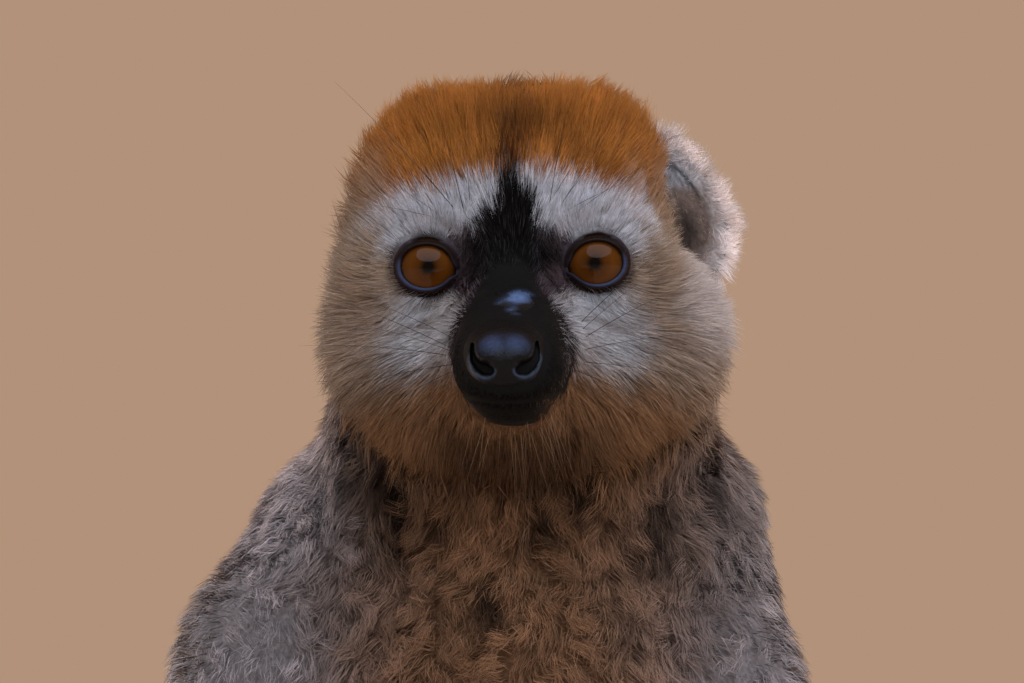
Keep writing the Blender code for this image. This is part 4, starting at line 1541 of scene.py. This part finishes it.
NAIL = (1.15, 1.9, 0.45)  # half its width, length and thickness
NAIL_BACK = 2.2  # from the digit's end to the nail's middle
NAIL_RINGS, NAIL_STEPS = 13, 20
NAIL_HORN = srgb(38, 32, 30)


def make_nails():
    """A dark, slightly domed nail on the end of each finger and toe."""
    points, faces = [], []
    ring, step = np.meshgrid(np.linspace(0, math.pi, NAIL_RINGS), np.arange(NAIL_STEPS), indexing="ij")
    turn = step * 2 * math.pi / NAIL_STEPS
    for end, ahead in zip(DIGIT_ENDS, DIGIT_AHEAD):
        above = Vector((*(end - ahead * NAIL_BACK * MM), 8 * MM))
        place, normal = skin_tree.find_nearest(above)[:2]
        along = Vector((*ahead, 0)) - normal * normal.dot(Vector((*ahead, 0)))
        along = (along.normalized() + Vector((0, 0, -0.25))).normalized()
        over = (normal - along * normal.dot(along)).normalized()
        axes = np.array((along.cross(over), along, over))
        ball = np.stack((np.sin(ring) * np.cos(turn), np.sin(ring) * np.sin(turn), np.cos(ring)), axis=-1)
        ball = ball.reshape(-1, 3) * NAIL
        ball[:, 2] -= 0.12 * ball[:, 0] ** 2 + 0.03 * ball[:, 1] ** 2
        faces.append(grid_faces(NAIL_RINGS, NAIL_STEPS)[:, ::-1] + len(points) * NAIL_RINGS * NAIL_STEPS)
        points.append(ball @ axes * MM + np.array(place))
    nails = new_object("nails", mesh_from("nails", np.concatenate(points), np.concatenate(faces)))
    set_colour(nails.data, np.tile(NAIL_HORN, (len(nails.data.vertices), 1)))
    nails.data.materials.append(tinted("nail_horn", 0.38, 0.4, 0.2))
    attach(nails, "root")


# ---------------------------------------------------------------- floor, light and camera

CAMERA_BACK = 2.3  # from the eyes to the camera
CAMERA_ASIDE = -0.00014
CAMERA_BELOW = 0.0153  # the camera's height under the eyes
FRAME_WIDTH = 0.2048  # of what the camera sees at the eyes
SENSOR = 36.0
FLOOR_RADIUS, FLOOR_STEPS, FLOOR_DROP = 3.5, 96, 0.0004
SKY = srgb(178, 146, 122)
# For each lamp: its place from the eyes, its width and height, its power and its colour.
LAMPS = {
    "key": ((0.1, -1.4, 1.5), (3.4, 2.0), 53, (0.69, 0.86, 1.0)),
    "fill_left": ((1.9, -0.9, 0.5), (1.8, 1.8), 25, (0.84, 0.91, 1.0)),
    "fill_right": ((-1.9, -0.9, 0.5), (1.8, 1.8), 13, (0.76, 0.89, 1.0)),
    "rim_left": ((1.1, 1.4, 0.9), (0.9, 0.9), 45, (1.0, 0.86, 0.70)),
    "rim_right": ((-1.1, 1.3, 0.8), (0.9, 0.9), 45, (1.0, 0.88, 0.74)),
}


def area_light(name, place, target, size, power, colour):
    """A soft lamp. Only the key is seen in the eyes and on the nose."""
    data = bpy.data.lights.new(name, "AREA")
    data.shape = "ELLIPSE"
    data.size, data.size_y = size
    data.energy = power
    data.color = colour
    light = bpy.data.objects.new(name, data)
    light.visible_glossy = name == "key"
    bpy.context.scene.collection.objects.link(light)
    light.location = place
    light.rotation_euler = (Vector(target) - Vector(place)).to_track_quat("-Z", "Y").to_euler()


def make_floor():
    """A wide, plain floor."""
    floor = new_object("floor", bpy.data.meshes.new("floor"))
    bm = bmesh.new()
    bmesh.ops.create_circle(bm, cap_ends=True, segments=FLOOR_STEPS, radius=FLOOR_RADIUS)
    bm.to_mesh(floor.data)
    bm.free()
    floor.data.materials.append(new_material("floor_plaster", srgb(178, 170, 162), 0.8, 0.3)[0])
    floor.location.z = -FLOOR_DROP


def make_camera(eyes):
    """A long lens, level and straight in front of the eyes."""
    camera = bpy.data.objects.new("camera", bpy.data.cameras.new("camera"))
    bpy.context.scene.collection.objects.link(camera)
    camera.data.sensor_width = SENSOR
    camera.data.lens = SENSOR * CAMERA_BACK / FRAME_WIDTH
    camera.data.clip_end = 50
    camera.location = (CAMERA_ASIDE, eyes.y - CAMERA_BACK, eyes.z - CAMERA_BELOW)
    camera.rotation_euler = (math.pi / 2, 0, 0)
    bpy.context.scene.camera = camera


def make_stage():
    """Floor, sky, lamps and camera."""
    eyes = (EYES["left"] + EYES["right"]) / 2
    make_floor()
    world = bpy.data.worlds.new("studio")
    bpy.context.scene.world = world
    world.use_nodes = True
    world.node_tree.nodes["Background"].inputs["Color"].default_value = (*SKY, 1)
    for name, (place, size, power, colour) in LAMPS.items():
        area_light(name, eyes + Vector(place), eyes, size, power, colour)
    make_camera(eyes)
    bpy.context.scene.view_settings.view_transform = "Standard"


iris = eye_material()
for side in SIDES:
    make_eye(side, iris)
make_nose()
make_whiskers()
make_nails()
make_stage()
